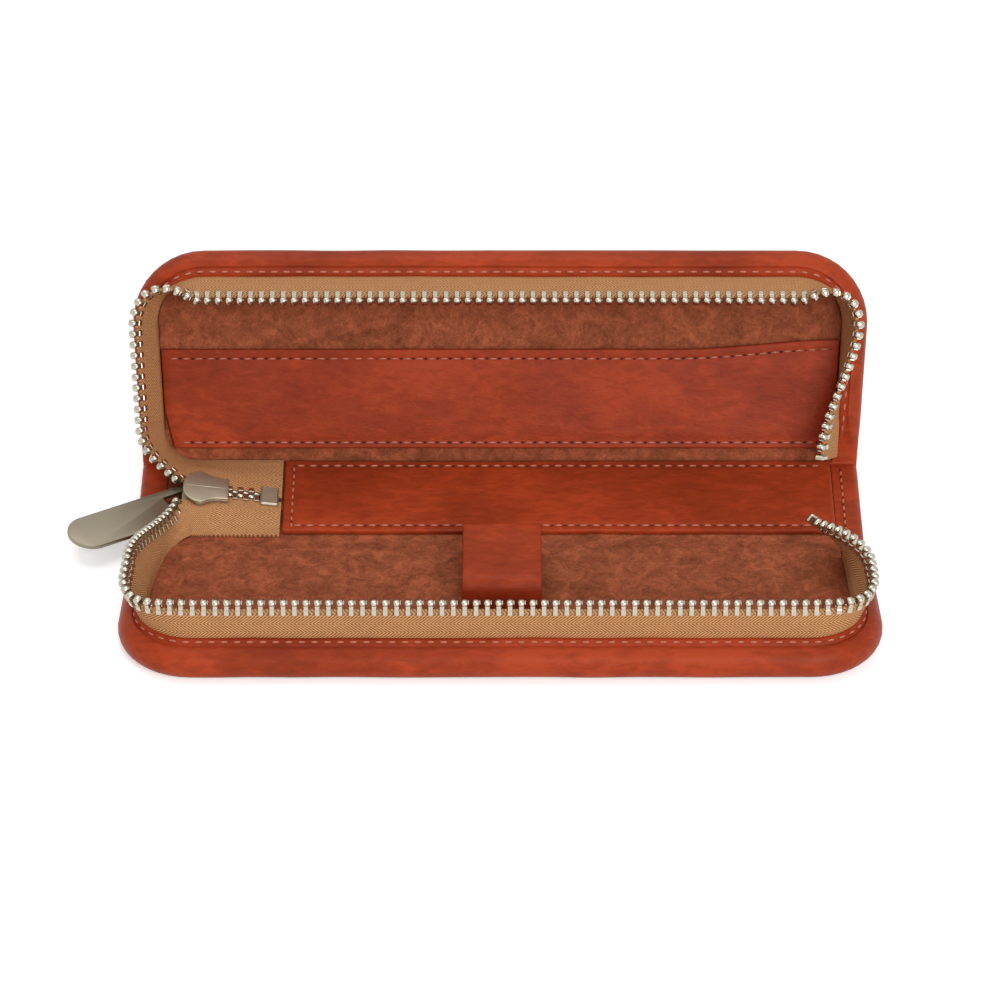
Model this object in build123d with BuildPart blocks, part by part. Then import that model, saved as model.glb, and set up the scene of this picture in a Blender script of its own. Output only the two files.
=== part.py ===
"""Zipped leather pen case, standing open: tray, flat spine, lid, metal zip, slider and pull tab.

Millimetres, +Z up.  The origin is the centre of the tray's flat underside, +X runs along the
case and +Y points from the tray to the spine and lid.  Tray and lid are two halves of one
shape: each is described by x, the depth from its fold and the height above its outer leather.
"""

from build123d import *
from dataclasses import dataclass
import math
import os

os.makedirs("parts", exist_ok=True)

# ---------------------------------------------------------------- driving dimensions
case_length = 173.5         # tray and lid, over their rolled edges
spine_length = 169.5        # over the spine's flat turned ends
panel_depth = 52.0          # fold to the outer front edge
corner_radius = 17.0        # outer corners in plan
roll_radius = 4.0           # padded edge roll
flat_edge_radius = 1.3      # where the roll runs out beside a fold
leather = 1.2               # outer leather, loop
suede = 1.1                 # lining
board = 0.9                 # stiffener between leather and lining
strip_thickness = 1.3       # spine cover strip
zip_height = 17.8           # outer leather to the line where the teeth mesh
lid_tilt = 63.7             # lid above the table as it stands open

tape_thickness = 0.7
wall_inset = 5.6            # outer edge to the middle of the standing tape
seam_height = 7.7           # where the roll's edge is sewn to the tape
tape_end_depth = 5.0        # loose right-hand tape ends, from the fold
tuck_angle = 14.0           # how far the leather turns in past the top of the roll

tooth_pitch = 2.54          # a number 5 metal chain
tooth_thickness = 2.0       # across the tape
tooth_foot = 2.9            # below the mesh line
tooth_tip = 1.3             # above the mesh line
tooth_shank = 0.95          # along the chain
tooth_head = 1.16           # along the chain
tooth_nib = 0.3             # how far the nib stands out of the head
tape_in_jaws = 1.6          # tape between a tooth's legs

loop_width = 18.0
loop_centre_x = 0.45
loop_back = 3.7             # outer back of the loop, from the fold
loop_front = 29.6           # outer front of the loop, from the fold
loop_rise = 9.1             # outer height above the lining
loop_foot = 4.0             # sewn feet, turned in under the loop
loop_corner = 3.4           # outer bend

pocket_top = 28.6           # mouth of the lid's pocket, from the fold
pocket_bottom = 5.1
pocket_leather = 1.2
pocket_gap = 0.4            # room behind the pocket
pocket_margin = 4.0         # sewn down along the bottom and the ends

strip_width = 29.0
strip_left = -50.8
strip_right = 78.2
margin_width = 6.2          # leather turned in over the spine's ends

zip_end_slope = 7.0         # degrees; the chain dips from the slider towards the strip
slider_x = -69.0
slider_depth = 15.4         # mesh line on the spine, from the tray's fold
slider_rise = 6.2           # mesh line above the table at the slider
slider_length = 10.6
slider_head = 11.6          # widest, across the shoulders
slider_tail = 8.0
slider_plate = 0.65
slider_travel = 5.0
closed_pairs = 3
stop_length = 4.2
stop_width = 7.0

bail_length = 3.6
bail_width = 1.3
bail_wall = 0.35
bail_room = 1.35            # clear height inside the bail
pull_length = 33.0          # bar to tip
pull_width = 11.0
pull_thickness = 1.1
pull_bar = 0.85             # round pin that runs in the bail
pin_stub = 0.5              # its ends, held in the tab's fork
stub_length = 1.0
pull_yaw = 35.0             # degrees towards the tray
pull_bank = 7.0             # degrees, face turned towards the tray
pull_pitch = 3.4            # degrees, tip raised over the spine's end
pull_sag = 0.15             # the bar hangs below the middle of the bail
pull_slot_length = 6.0
pull_slot_width = 6.6

lean_front_tray = -1.5      # degrees outwards of the standing tape
lean_front_lid = -29.0
lean_side_tray = 30.0
lean_side_lid = 27.0
lean_end_tray = -36.0       # at the loose right-hand end
lean_end_lid = -25.0

# ---------------------------------------------------------------- clearances
running_gap = 0.3           # between leather pieces that fold against each other
layer_gap = 0.05            # between stacked or butted soft layers
zip_gap = 0.1               # chain and tape inside the slider
pin_gap = 0.04              # the tab turns on its pin

# ---------------------------------------------------------------- worked out
fold_height = leather / 2                       # the leather bends about its own middle
spine_width = 2 * (zip_height - fold_height)    # so the zip meets halfway up the closed case
floor_height = leather + board + suede          # inside of tray and lid
spine_floor = leather + suede
fold_y = panel_depth / 2
lid_fold_y = fold_y + spine_width
leather_end = fold_height + running_gap         # cover leather stops short of the fold line
layer_end = floor_height - fold_height + 0.5    # lining and board clear the spine at 90 degrees
taper_start = layer_end + 11.0                  # the roll is full size from here on
tape_foot = leather + layer_gap
tape_rise = zip_height - tooth_foot + tape_in_jaws - seam_height
mesh_rise = zip_height - seam_height
lining_inset = wall_inset + tape_thickness / 2 + 3 * layer_gap


@dataclass
class Half:
    """Tray or lid: its plane, the side its free edge lies on and how its tape leans."""

    name: str
    plane: Plane
    side: int
    lean_front: float
    lean_side: float
    lean_end: float
    corner_depth: float
    upright_depth: float


tilt = math.radians(lid_tilt)
lid_normal = Vector(0, -math.sin(tilt), math.cos(tilt))
lid_origin = Vector(0, lid_fold_y, fold_height) - lid_normal * fold_height
tray = Half("tray", Plane(origin=(0, fold_y, 0)), -1,
            lean_front_tray, lean_side_tray, lean_end_tray, 18.0, 12.5)
lid = Half("lid", Plane(origin=lid_origin, x_dir=(1, 0, 0), z_dir=lid_normal), 1,
           lean_front_lid, lean_side_lid, lean_end_lid, 12.0, 19.5)
spine_plane = Plane(origin=(0, fold_y, 0))


def finish(part, name):
    """Labels a finished piece and writes its STEP file."""
    part.label = name
    export_step(part, f"parts/{name}.step")


def smooth(low, high, value):
    """0 below low, 1 above high, a smooth step between them."""
    share = min(1.0, max(0.0, (value - low) / (high - low)))
    return share * share * (3 - 2 * share)


def edge_x(depth):
    """Half the outer length at a depth from the fold: the sides spread up to the corners."""
    spread = (case_length - spine_length) / (panel_depth - corner_radius)
    return (spine_length + spread * depth) / 2


def rim(half, inset, start=0.0):
    """The three-sided rim of a half at an inset, left fold end to right fold end."""
    front = panel_depth - inset
    with BuildLine(half.plane) as line:
        FilletPolyline((-(edge_x(start) - inset), half.side * start),
                       (-(edge_x(front) - inset), half.side * front),
                       (edge_x(front) - inset, half.side * front),
                       (edge_x(start) - inset, half.side * start),
                       radius=corner_radius - inset)
    return line.wire()


def section_plane(half, wire, share, height=0.0):
    """Cross-section plane on a rim: x outwards, y up from the outer leather."""
    up = half.plane.z_dir
    along = (wire % share).normalized()
    outward = up.cross(along) * half.side
    return Plane(origin=wire @ share + up * height, x_dir=outward, z_dir=along * half.side)


def floor_sheet(half, inset, start, low, thickness):
    """A flat layer that fills a half inside a rim inset, from a depth on."""
    with BuildPart() as sheet:
        with BuildSketch(half.plane.offset(low)):
            with BuildLine():
                outline = rim_local(half, inset, start)
                Line(outline @ 1, outline @ 0)
            make_face()
        extrude(amount=thickness)
    return sheet.part


def rim_local(half, inset, start):
    """The same rim in a half's own flat coordinates, for use inside a sketch."""
    front = panel_depth - inset
    return FilletPolyline((-(edge_x(start) - inset), half.side * start),
                          (-(edge_x(front) - inset), half.side * front),
                          (edge_x(front) - inset, half.side * front),
                          (edge_x(start) - inset, half.side * start),
                          radius=corner_radius - inset)


def turned_edge(plane, radius):
    """Leather section from under a roll, round its outside and over its top."""
    with BuildSketch(plane) as section:
        with BuildLine():
            outer = CenterArc((0, 0), radius, -90, 180 + tuck_angle)
            inner = CenterArc((0, 0), radius - leather, -90, 180 + tuck_angle)
            Line(outer @ 0, inner @ 0)
            Line(outer @ 1, inner @ 1)
        make_face()
    return section.sketch


def cover(half):
    """Outer leather: base sheet, rolled edge on three sides, tapers beside the fold."""
    path = rim(half, roll_radius, taper_start)
    with BuildPart() as piece:
        with BuildSketch(half.plane):
            with BuildLine():
                outline = rim_local(half, roll_radius, taper_start)
                Line(outline @ 1, outline @ 0)
            make_face()
            for side in (-1, 1):
                with BuildLine():
                    Polyline((side * (edge_x(taper_start) - roll_radius), half.side * taper_start),
                             (side * (edge_x(layer_end) - flat_edge_radius), half.side * layer_end),
                             (side * edge_x(layer_end), half.side * layer_end),
                             (side * edge_x(leather_end), half.side * leather_end),
                             (0, half.side * leather_end),
                             (0, half.side * taper_start), close=True)
                make_face()
        extrude(amount=leather)
        sweep(sections=turned_edge(section_plane(half, path, 0, roll_radius), roll_radius),
              path=path)
        for side in (-1, 1):
            wide = section_plane(half, path, (1 + side) / 2, roll_radius)
            low = Plane(origin=half.plane.from_local_coords(
                (side * (edge_x(layer_end) - flat_edge_radius), half.side * layer_end,
                 flat_edge_radius)),
                x_dir=(side, 0, 0), z_dir=half.plane.y_dir * -side)
            loft(sections=[turned_edge(wide, roll_radius), turned_edge(low, flat_edge_radius)],
                 ruled=True)
    return piece.part


def edge_cord(half):
    """Foam cord in the roll, flat where the tape stands against it."""
    path = rim(half, roll_radius, taper_start)
    cord_radius = roll_radius - leather - layer_gap
    flat_side = wall_inset - tape_thickness / 2 - layer_gap - roll_radius
    with BuildPart() as piece:
        with BuildSketch(section_plane(half, path, 0, roll_radius)) as section:
            Circle(cord_radius)
            with Locations((-flat_side - cord_radius, 0)):
                Rectangle(2 * cord_radius, 2 * cord_radius, mode=Mode.SUBTRACT)
        sweep(path=path)
    return piece.part


# ---------------------------------------------------------------- the zip along a half
def lean_at(half, point, along):
    """Outward lean in degrees of the standing tape at a point of the wall line."""
    local = half.plane.to_local_coords(point)
    depth = local.Y * half.side
    sideways = abs(half.plane.y_dir.dot(along))
    lean = half.lean_front + (half.lean_side - half.lean_front) * smooth(0.0, 1.0, sideways)
    if local.X > 0:
        reach = (half.upright_depth - tape_end_depth) * 2.2
        loose = 1 - smooth(tape_end_depth, tape_end_depth + reach, depth)
        lean += (half.lean_end - lean) * loose
    return lean


class Wall:
    """The line on which a half's zip tape stands, with its knee, lean and mesh line."""

    def __init__(self, half):
        self.half = half
        full = rim(half, wall_inset, tape_end_depth)
        self.wire = full
        self.length = full.length
        self.start = half.corner_depth - tape_end_depth

    def stations(self):
        """Distances of the tape's sections: close together round corners and at the loose end."""
        bends = [0.0]
        for edge in self.wire.edges().sort_by(self.wire):
            bends.append(bends[-1] + edge.length)
        steps = [self.start]
        for low, high in ((bends[1], bends[2]), (bends[3], bends[4]), (bends[4], bends[5])):
            count = max(1, round((high - low) / 2.4))
            steps += [low + (high - low) * index / count for index in range(count + 1)]
        steps[-1] -= 0.01
        return [step for index, step in enumerate(steps) if index == 0 or step > steps[index - 1]]

    def frame(self, distance):
        """Section plane, and the leaning direction, at a distance along the wall."""
        share = distance / self.length
        plane = section_plane(self.half, self.wire, share)
        along = (self.wire % share).normalized()
        angle = math.radians(lean_at(self.half, self.wire @ share, along))
        return plane, plane.x_dir * math.sin(angle) + plane.y_dir * math.cos(angle), angle

    def mesh(self, distance):
        """Point on the mesh line."""
        plane, leaning, _ = self.frame(distance)
        return plane.origin + plane.y_dir * seam_height + leaning * mesh_rise

    def tooth_places(self):
        """Planes of the teeth, one pitch apart on the mesh line."""
        places = []
        distance = self.start + tooth_pitch / 2
        while distance < self.length - tooth_pitch:
            leaning = self.frame(distance)[1]
            along = self.mesh(distance + 0.2) - self.mesh(distance - 0.2)
            places.append(Plane(origin=self.mesh(distance), x_dir=along.normalized(),
                                z_dir=along.cross(leaning).normalized()))
            step = tooth_pitch
            for _ in range(4):
                step *= tooth_pitch / (self.mesh(distance + step) - self.mesh(distance)).length
            distance += step
        return places


def bent_strip(plane, foot, angle, rise, thickness):
    """Section of a standing tape: upright from foot to seam, then leaning."""
    half_thick = thickness / 2
    mitre = half_thick * math.tan(angle / 2)
    top_x, top_y = rise * math.sin(angle), seam_height + rise * math.cos(angle)
    across_x, across_y = half_thick * math.cos(angle), half_thick * math.sin(angle)
    with BuildSketch(plane) as section:
        with BuildLine():
            Polyline((half_thick, foot), (half_thick, seam_height - mitre),
                     (top_x + across_x, top_y - across_y),
                     (top_x - across_x, top_y + across_y),
                     (-half_thick, seam_height + mitre), (-half_thick, foot), close=True)
        make_face()
    return section.sketch


def wall_tape(wall):
    """The rigid stretch of tape, from above the left corner to the loose right end."""
    with BuildPart() as piece:
        sections = []
        for distance in wall.stations():
            plane, _, angle = wall.frame(distance)
            sections.append(bent_strip(plane, tape_foot, angle, tape_rise, tape_thickness))
        loft(sections=sections, ruled=True)
    return piece.part


with BuildPart() as tooth:
    with BuildSketch(Plane.XY.offset(-tooth_thickness / 2)):
        shoulder = tooth_tip - 1.3 * tooth_head
        with BuildLine():
            Polyline((-tooth_shank / 2, -tooth_foot), (tooth_shank / 2, -tooth_foot),
                     (tooth_shank / 2, shoulder), (tooth_head / 2, shoulder),
                     (tooth_head / 2, tooth_tip), (-tooth_head / 2, tooth_tip),
                     (-tooth_head / 2, shoulder), (-tooth_shank / 2, shoulder), close=True)
        make_face()
    extrude(amount=tooth_thickness)
    with Locations(((tooth_head + tooth_nib) / 2, tooth_tip - 0.65, 0)):
        Box(tooth_nib, 0.5, 0.9)
    with Locations((-(tooth_head - tooth_nib) / 2, tooth_tip - 0.65, 0)):
        Box(tooth_nib + 0.05, 0.6, 1.0, mode=Mode.SUBTRACT)
    with Locations((0, -tooth_foot + tape_in_jaws / 2, 0)):
        Box(tooth_head, tape_in_jaws, tape_thickness, mode=Mode.SUBTRACT)


def chain(places):
    """A row of separate teeth."""
    with BuildPart() as row:
        with Locations(*places):
            add(tooth.part)
    return row.part


def top_stop(wall):
    """Stop crimped on the tape above the last tooth."""
    with BuildPart() as piece:
        plane, leaning, _ = wall.frame(wall.length - 0.7)
        along = plane.z_dir
        with BuildSketch(Plane(origin=wall.mesh(wall.length - 0.7) - leaning * 0.6, x_dir=along,
                               z_dir=along.cross(leaning))):
            RectangleRounded(1.3, 3.4, 0.4)
        extrude(amount=tooth_thickness / 2 + 0.1, both=True)
    return piece.part


# ---------------------------------------------------------------- the zip's end on the spine
slope = math.radians(zip_end_slope)
zip_plane = Plane(origin=(slider_x, fold_y + slider_depth, slider_rise),
                  x_dir=(math.cos(slope), 0, -math.sin(slope)),
                  z_dir=(math.sin(slope), 0, math.cos(slope)))
plate_low = tooth_thickness / 2 + zip_gap           # inner faces of the slider's two plates
plate_high = plate_low + slider_plate
tape_reach = 12.7                                   # mesh line to the tape's free edge
tape_bend = slider_head / 2 + 0.5                   # the tape lies level inside the slider
tape_left = -2.6                                    # where the flat tapes start, from the slider
tape_right = (strip_left - slider_x) / math.cos(slope) - 0.4
tape_inner = tooth_foot - tape_in_jaws              # tape edge between the legs of a closed tooth
chain_start = slider_length / 2 + 1.6
stop_start = chain_start + (closed_pairs - 1) * tooth_pitch + tooth_head / 2 + tooth_nib + 0.3


def free_edge_height(along):
    """Height in the zip's plane at which a tape's free edge lies on the spine lining."""
    resting = spine_floor + tape_thickness / 2 + zip_gap
    return (resting - slider_rise + along * math.sin(slope)) / math.cos(slope)


def flat_tape(side):
    """One tape of the zip's end, level through the slider, its free edge down on the lining."""
    half_thick = tape_thickness / 2
    sections = []
    for along, inner in ((tape_left, 3.8), (1.6, 3.4), (chain_start - 1.2, tape_inner),
                         (tape_right, tape_inner)):
        drop = free_edge_height(along)
        with BuildSketch(Plane(origin=zip_plane.from_local_coords((along, 0, 0)),
                               x_dir=zip_plane.y_dir, z_dir=zip_plane.x_dir)) as section:
            with BuildLine():
                Polyline((side * inner, -half_thick), (side * tape_bend, -half_thick),
                         (side * tape_reach, drop - half_thick),
                         (side * tape_reach, drop + half_thick),
                         (side * tape_bend, half_thick), (side * inner, half_thick), close=True)
            make_face()
        sections.append(section.sketch)
    with BuildPart() as piece:
        loft(sections=sections, ruled=True)
    return piece.part


def closed_places():
    """Planes of the closed teeth below the slider, the two rows half a pitch apart."""
    places = []
    for index in range(closed_pairs):
        for shift, facing in ((0.0, 1), (-tooth_pitch / 2, -1)):
            along = chain_start + index * tooth_pitch + shift
            places.append(Plane(origin=zip_plane.from_local_coords((along, 0, 0)),
                                x_dir=zip_plane.x_dir, z_dir=zip_plane.z_dir * facing))
    return places


class Corner:
    """The left-hand stretch of a half's tape that twists from its wall down to the slider."""

    def __init__(self, half, wall, side, mesh_start, mesh_end, foot_start, foot_end):
        nose = zip_plane.from_local_coords((-slider_length / 2 - 0.7, side * 2.7, 0.2))
        flat_edge = zip_plane.from_local_coords(
            (tape_left - layer_gap, side * tape_reach, free_edge_height(tape_left)))
        wall_plane, leaning, _ = wall.frame(wall.start - layer_gap)
        wall_mesh = wall.mesh(wall.start - layer_gap)
        wall_foot = wall_plane.origin + wall_plane.y_dir * (seam_height + 2 * layer_gap)
        with BuildLine() as mesh_line:
            Spline(nose, wall_mesh, tangents=(mesh_start, mesh_end))
        with BuildLine() as foot_line:
            Spline(flat_edge, wall_foot, tangents=(foot_start, foot_end))
        self.mesh = mesh_line.edge()
        self.foot = foot_line.edge()

    def frame(self, share):
        """Foot point, direction from foot to mesh line and direction along the tape."""
        foot, mesh = self.foot @ share, self.mesh @ share
        rise = (mesh - foot).normalized()
        along = ((self.foot % share) + (self.mesh % share)).normalized()
        return foot, mesh, rise, along

    def tape(self):
        """The twisted strip."""
        count = 7
        sections = []
        for index in range(count + 1):
            foot, mesh, rise, along = self.frame(index / count)
            width = (mesh - foot).length - tooth_foot + tape_in_jaws
            with BuildSketch(Plane(origin=foot + rise * width / 2,
                                   x_dir=rise, z_dir=rise.cross(along.cross(rise)))) as section:
                Rectangle(width, tape_thickness)
            sections.append(section.sketch)
        with BuildPart() as piece:
            loft(sections=sections, ruled=True)
        return piece.part

    def tooth_places(self):
        """Teeth spaced back from the wall's first tooth."""
        places = []
        distance = self.mesh.length - tooth_pitch / 2
        while distance > 0.2:
            _, mesh, rise, along = self.frame(distance / self.mesh.length)
            tangent = self.mesh % (distance / self.mesh.length)
            places.append(Plane(origin=mesh, x_dir=tangent,
                                z_dir=tangent.cross(rise).normalized()))
            distance -= tooth_pitch
        return places


# ---------------------------------------------------------------- tray and lid
for half in (tray, lid):
    wall = Wall(half)
    finish(cover(half), f"{half.name}_cover")
    finish(edge_cord(half), f"{half.name}_edge_cord")
    finish(floor_sheet(half, lining_inset, layer_end, leather, board), f"{half.name}_board")
    finish(floor_sheet(half, lining_inset, layer_end, leather + board, suede),
           f"{half.name}_lining")
    finish(wall_tape(wall), f"{half.name}_zip_tape")
    finish(chain(wall.tooth_places()), f"{half.name}_zip_teeth")
    finish(top_stop(wall), f"{half.name}_top_stop")
    up_wall = half.plane.y_dir * half.side
    if half is tray:
        corner = Corner(half, wall, -1, (-0.4, -1, 0.6), up_wall, (-0.7, -0.7, 0), up_wall)
    else:
        corner = Corner(half, wall, 1, (-0.5, 0.85, 0), up_wall, (-0.8, 0.6, 0), up_wall)
    finish(corner.tape(), f"{half.name}_corner_tape")
    finish(chain(corner.tooth_places()), f"{half.name}_corner_teeth")

# Pen loop: one band with both ends turned in and sewn to the tray's lining.
loop_low = floor_height + layer_gap
loop_depth = loop_front - loop_back
with BuildPart() as pen_loop:
    with BuildSketch(Plane.YZ.offset(loop_centre_x - loop_width / 2)) as section:
        with Locations((fold_y - (loop_front + loop_back) / 2, loop_low + loop_rise / 2)):
            Rectangle(loop_depth, loop_rise)
        fillet(section.vertices().group_by(Axis.Y)[-1], radius=loop_corner)
        fillet(section.vertices().group_by(Axis.Y)[0], radius=leather + 0.1)
        offset(amount=-leather, mode=Mode.SUBTRACT)
        with Locations((fold_y - (loop_front + loop_back) / 2, loop_low + leather / 2)):
            Rectangle(loop_depth - 2 * (leather + loop_foot), leather + 1, mode=Mode.SUBTRACT)
    extrude(amount=loop_width)
finish(pen_loop.part, "pen_loop")

# Pocket: a smooth leather panel sewn down along its bottom and ends, open along its top.
pocket_low = floor_height + layer_gap
pocket_square = pocket_bottom + 9.0                 # the bottom corners are cut off up to here
pocket_half = edge_x(pocket_bottom) - lining_inset - 2.4
with BuildPart() as lid_pocket:
    with BuildSketch(lid.plane.offset(pocket_low)):
        with BuildLine():
            Polyline((0, pocket_bottom), (pocket_half, pocket_bottom),
                     (edge_x(pocket_square) - lining_inset - layer_gap, pocket_square),
                     (edge_x(pocket_top) - lining_inset - layer_gap, pocket_top), (0, pocket_top))
            mirror(about=Plane.YZ)
        make_face()
    extrude(amount=pocket_gap - layer_gap + pocket_leather)
    with BuildSketch(lid.plane.offset(pocket_low)):
        with Locations((0, (pocket_bottom + pocket_margin + pocket_top + 1) / 2)):
            Rectangle(2 * (pocket_half - pocket_margin),
                      pocket_top + 1 - pocket_bottom - pocket_margin)
    extrude(amount=pocket_gap - layer_gap, mode=Mode.SUBTRACT)
finish(lid_pocket.part, "lid_pocket")

# ---------------------------------------------------------------- spine
turned_x = spine_length / 2 - flat_edge_radius
margin_x = spine_length / 2 - margin_width
with BuildPart() as spine_cover:
    with BuildSketch(Plane.YZ.offset(-turned_x)):
        with Locations((fold_y + spine_width / 2, leather / 2)):
            SlotCenterToCenter(spine_width, leather)
    extrude(amount=2 * turned_x)
    with BuildSketch(Plane.XZ.offset(-(fold_y + layer_end))):
        top = 2 * flat_edge_radius
        with BuildLine():
            bend = CenterArc((turned_x, flat_edge_radius), flat_edge_radius, -90, 180)
            Polyline(bend @ 1, (margin_x, top), (margin_x, top - leather),
                     (turned_x, top - leather), bend @ 0)
        make_face()
    extrude(amount=-(spine_width - 2 * layer_end))
    mirror(about=Plane.YZ)
finish(spine_cover.part, "spine_cover")

with BuildPart() as spine_lining:
    with BuildSketch(spine_plane.offset(leather)):
        with Locations((0, spine_width / 2)):
            Rectangle(2 * (margin_x - layer_gap), spine_width - 2 * spine_floor + suede)
    extrude(amount=suede)
finish(spine_lining.part, "spine_lining")

with BuildPart() as spine_strip:
    with BuildSketch(spine_plane.offset(spine_floor)):
        with Locations(((strip_left + strip_right) / 2, spine_width / 2)):
            RectangleRounded(strip_right - strip_left, strip_width, 0.8)
    extrude(amount=strip_thickness)
    fillet(spine_strip.faces().sort_by(Axis.Z)[-1].edges(), radius=strip_thickness / 3)
finish(spine_strip.part, "spine_strip")

finish(flat_tape(-1), "spine_tape_front")
finish(flat_tape(1), "spine_tape_back")
finish(chain(closed_places()), "spine_chain")

with BuildPart() as bottom_stop:
    with Locations(zip_plane):
        with Locations((stop_start + stop_length / 2, 0, 0)):
            Box(stop_length, stop_width, tooth_thickness + 0.3)
            chamfer(bottom_stop.edges(), length=0.25)
            for side in (-1, 1):
                with Locations((0, side * (tape_inner + stop_width) / 2, 0)):
                    Box(stop_length, stop_width - tape_inner, tape_thickness,
                        mode=Mode.SUBTRACT)
finish(bottom_stop.part, "bottom_stop")

# ---------------------------------------------------------------- slider and pull tab
nose, tail = -slider_length / 2, slider_length / 2
flange_start = -2.8
flange_wall = 0.8
flange_low = tape_thickness / 2 + zip_gap
with BuildSketch() as slider_outline:
    with BuildLine():
        half_head, half_tail = slider_head / 2, slider_tail / 2
        left = Spline((nose + 3.7, half_head), (nose + 1.1, slider_head * 0.31), (nose, 0),
                      (nose + 1.1, -slider_head * 0.31), (nose + 3.7, -half_head),
                      tangents=((-1, 0), (1, 0)))
        low = Spline(left @ 1, (0.9, -slider_head * 0.41), (tail - 1.5, -half_tail),
                     tangents=((1, 0), (1, 0)))
        Polyline(low @ 1, (tail, -half_tail), (tail, half_tail), (tail - 1.5, half_tail))
        Spline((tail - 1.5, half_tail), (0.9, slider_head * 0.41), left @ 0,
               tangents=((-1, 0), (-1, 0)))
    make_face()

with BuildPart() as slider:
    for face in (-1, 1):
        with BuildSketch(Plane.XY.offset(face * plate_low)):
            add(slider_outline.sketch)
        extrude(amount=face * slider_plate)
        with BuildSketch(Plane.XY.offset(face * plate_low)):
            add(slider_outline.sketch)
            with BuildLine():
                channel = half_tail - flange_wall
                Polyline((tail + 1, -channel), (1.5, -channel), (flange_start, flange_wall - half_head),
                         (flange_start, -slider_head), (nose - 1, -slider_head),
                         (nose - 1, slider_head), (flange_start, slider_head),
                         (flange_start, half_head - flange_wall), (1.5, channel),
                         (tail + 1, channel), close=True)
            make_face(mode=Mode.SUBTRACT)
        extrude(amount=-face * (plate_low - flange_low))
    with BuildSketch(Plane.XY.offset(-plate_low)):
        with BuildLine():
            Polyline((nose + 0.6, 1.5), (nose + 1.2, 2.2), (-1.0, 0),
                     (nose + 1.2, -2.2), (nose + 0.6, -1.5), close=True)
        make_face()
    extrude(amount=2 * plate_low)
    bail_x = nose + 0.4 + bail_length / 2
    bail_height = bail_room + bail_wall + slider_plate / 2
    with BuildSketch(Plane.XZ.offset(-bail_width / 2)):
        with Locations((bail_x, slider_plate / 2 - plate_high - bail_height / 2)):
            Rectangle(bail_length, bail_height)
        with Locations((bail_x, slider_plate - plate_high - bail_height / 2)):
            Rectangle(bail_length - 2 * bail_wall, bail_height + slider_plate - 2 * bail_wall,
                      mode=Mode.SUBTRACT)
    extrude(amount=bail_width)
finish(slider.part.moved(zip_plane.location), "slider_body")

heading, pitch, bank = (math.radians(a) for a in (pull_yaw, pull_pitch, pull_bank))
pull_along = Vector(-math.cos(pitch) * math.cos(heading), -math.cos(pitch) * math.sin(heading),
                    math.sin(pitch))
pull_level = Vector(math.sin(heading), -math.cos(heading), 0)
pull_plane = Plane(
    origin=zip_plane.from_local_coords((bail_x, 0, -plate_high - bail_room / 2 - pull_sag)),
    x_dir=pull_along,
    z_dir=pull_along.cross(pull_level) * math.cos(bank) + pull_level * math.sin(bank))
with BuildPart() as pull_pin:
    with Locations(Rotation(90, 0, 0)):
        Cylinder(radius=pull_bar / 2, height=pull_slot_width - 2 * pin_gap)
        Cylinder(radius=pin_stub / 2, height=pull_slot_width + 2 * stub_length - 2 * pin_gap)
finish(pull_pin.part.moved(pull_plane.location), "pull_pin")

with BuildPart() as pull:
    with BuildSketch(Plane.XY.offset(-pull_thickness / 2)):
        with BuildLine():
            half_width = pull_width / 2
            near = -pull_bar / 2 - 0.4
            Polyline((near, 0), (near, half_width - 1.5), (near + 1.5, half_width),
                     (pull_length - half_width, half_width))
            ThreePointArc((pull_length - half_width, half_width), (pull_length, 0),
                          (pull_length - half_width, -half_width))
            Polyline((pull_length - half_width, -half_width), (near + 1.5, -half_width),
                     (near, 1.5 - half_width), (near, 0))
        make_face()
        with Locations(((pull_slot_length + near) / 2 - 0.5, 0)):
            Rectangle(pull_slot_length - near + 1, pull_slot_width, mode=Mode.SUBTRACT)
    extrude(amount=pull_thickness)
    chamfer(pull.faces().filter_by(Plane.XY).edges(), length=0.2)
    with Locations(Rotation(90, 0, 0)):
        Cylinder(radius=pin_stub / 2 + pin_gap, height=pull_slot_width + 2 * stub_length,
                 mode=Mode.SUBTRACT)
finish(pull.part.moved(pull_plane.location), "pull_tab")
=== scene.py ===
"""Looks of an open, zipped leather pen case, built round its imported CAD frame.

Lengths are millimetres in the functions below and become metres in point().  The leather, the
lining and the zip are described on the case as it is cut, flat: x along the case, s across it
from the fold beside the tray (tray below 0, spine 0 to 34.4, lid above) and n above the table.
"""

import math

import bpy
from mathutils import Matrix, Vector, noise


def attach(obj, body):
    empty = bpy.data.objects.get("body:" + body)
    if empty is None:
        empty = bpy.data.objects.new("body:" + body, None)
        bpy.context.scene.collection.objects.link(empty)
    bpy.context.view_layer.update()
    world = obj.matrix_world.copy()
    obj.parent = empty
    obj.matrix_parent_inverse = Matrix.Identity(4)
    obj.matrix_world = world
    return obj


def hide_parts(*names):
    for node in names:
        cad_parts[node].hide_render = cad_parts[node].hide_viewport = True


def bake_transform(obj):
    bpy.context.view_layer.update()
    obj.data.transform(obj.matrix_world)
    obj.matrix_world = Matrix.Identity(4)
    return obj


bl_info = {
    "name": "Leather pen case",
    "version": (1, 0, 0),
    "blender": (4, 5, 0),
    "location": "View3D > Sidebar > Pen case",
    "description": "Builds the leather, lining, zip and stitching of an open pen case",
    "category": "Object",
}

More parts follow.
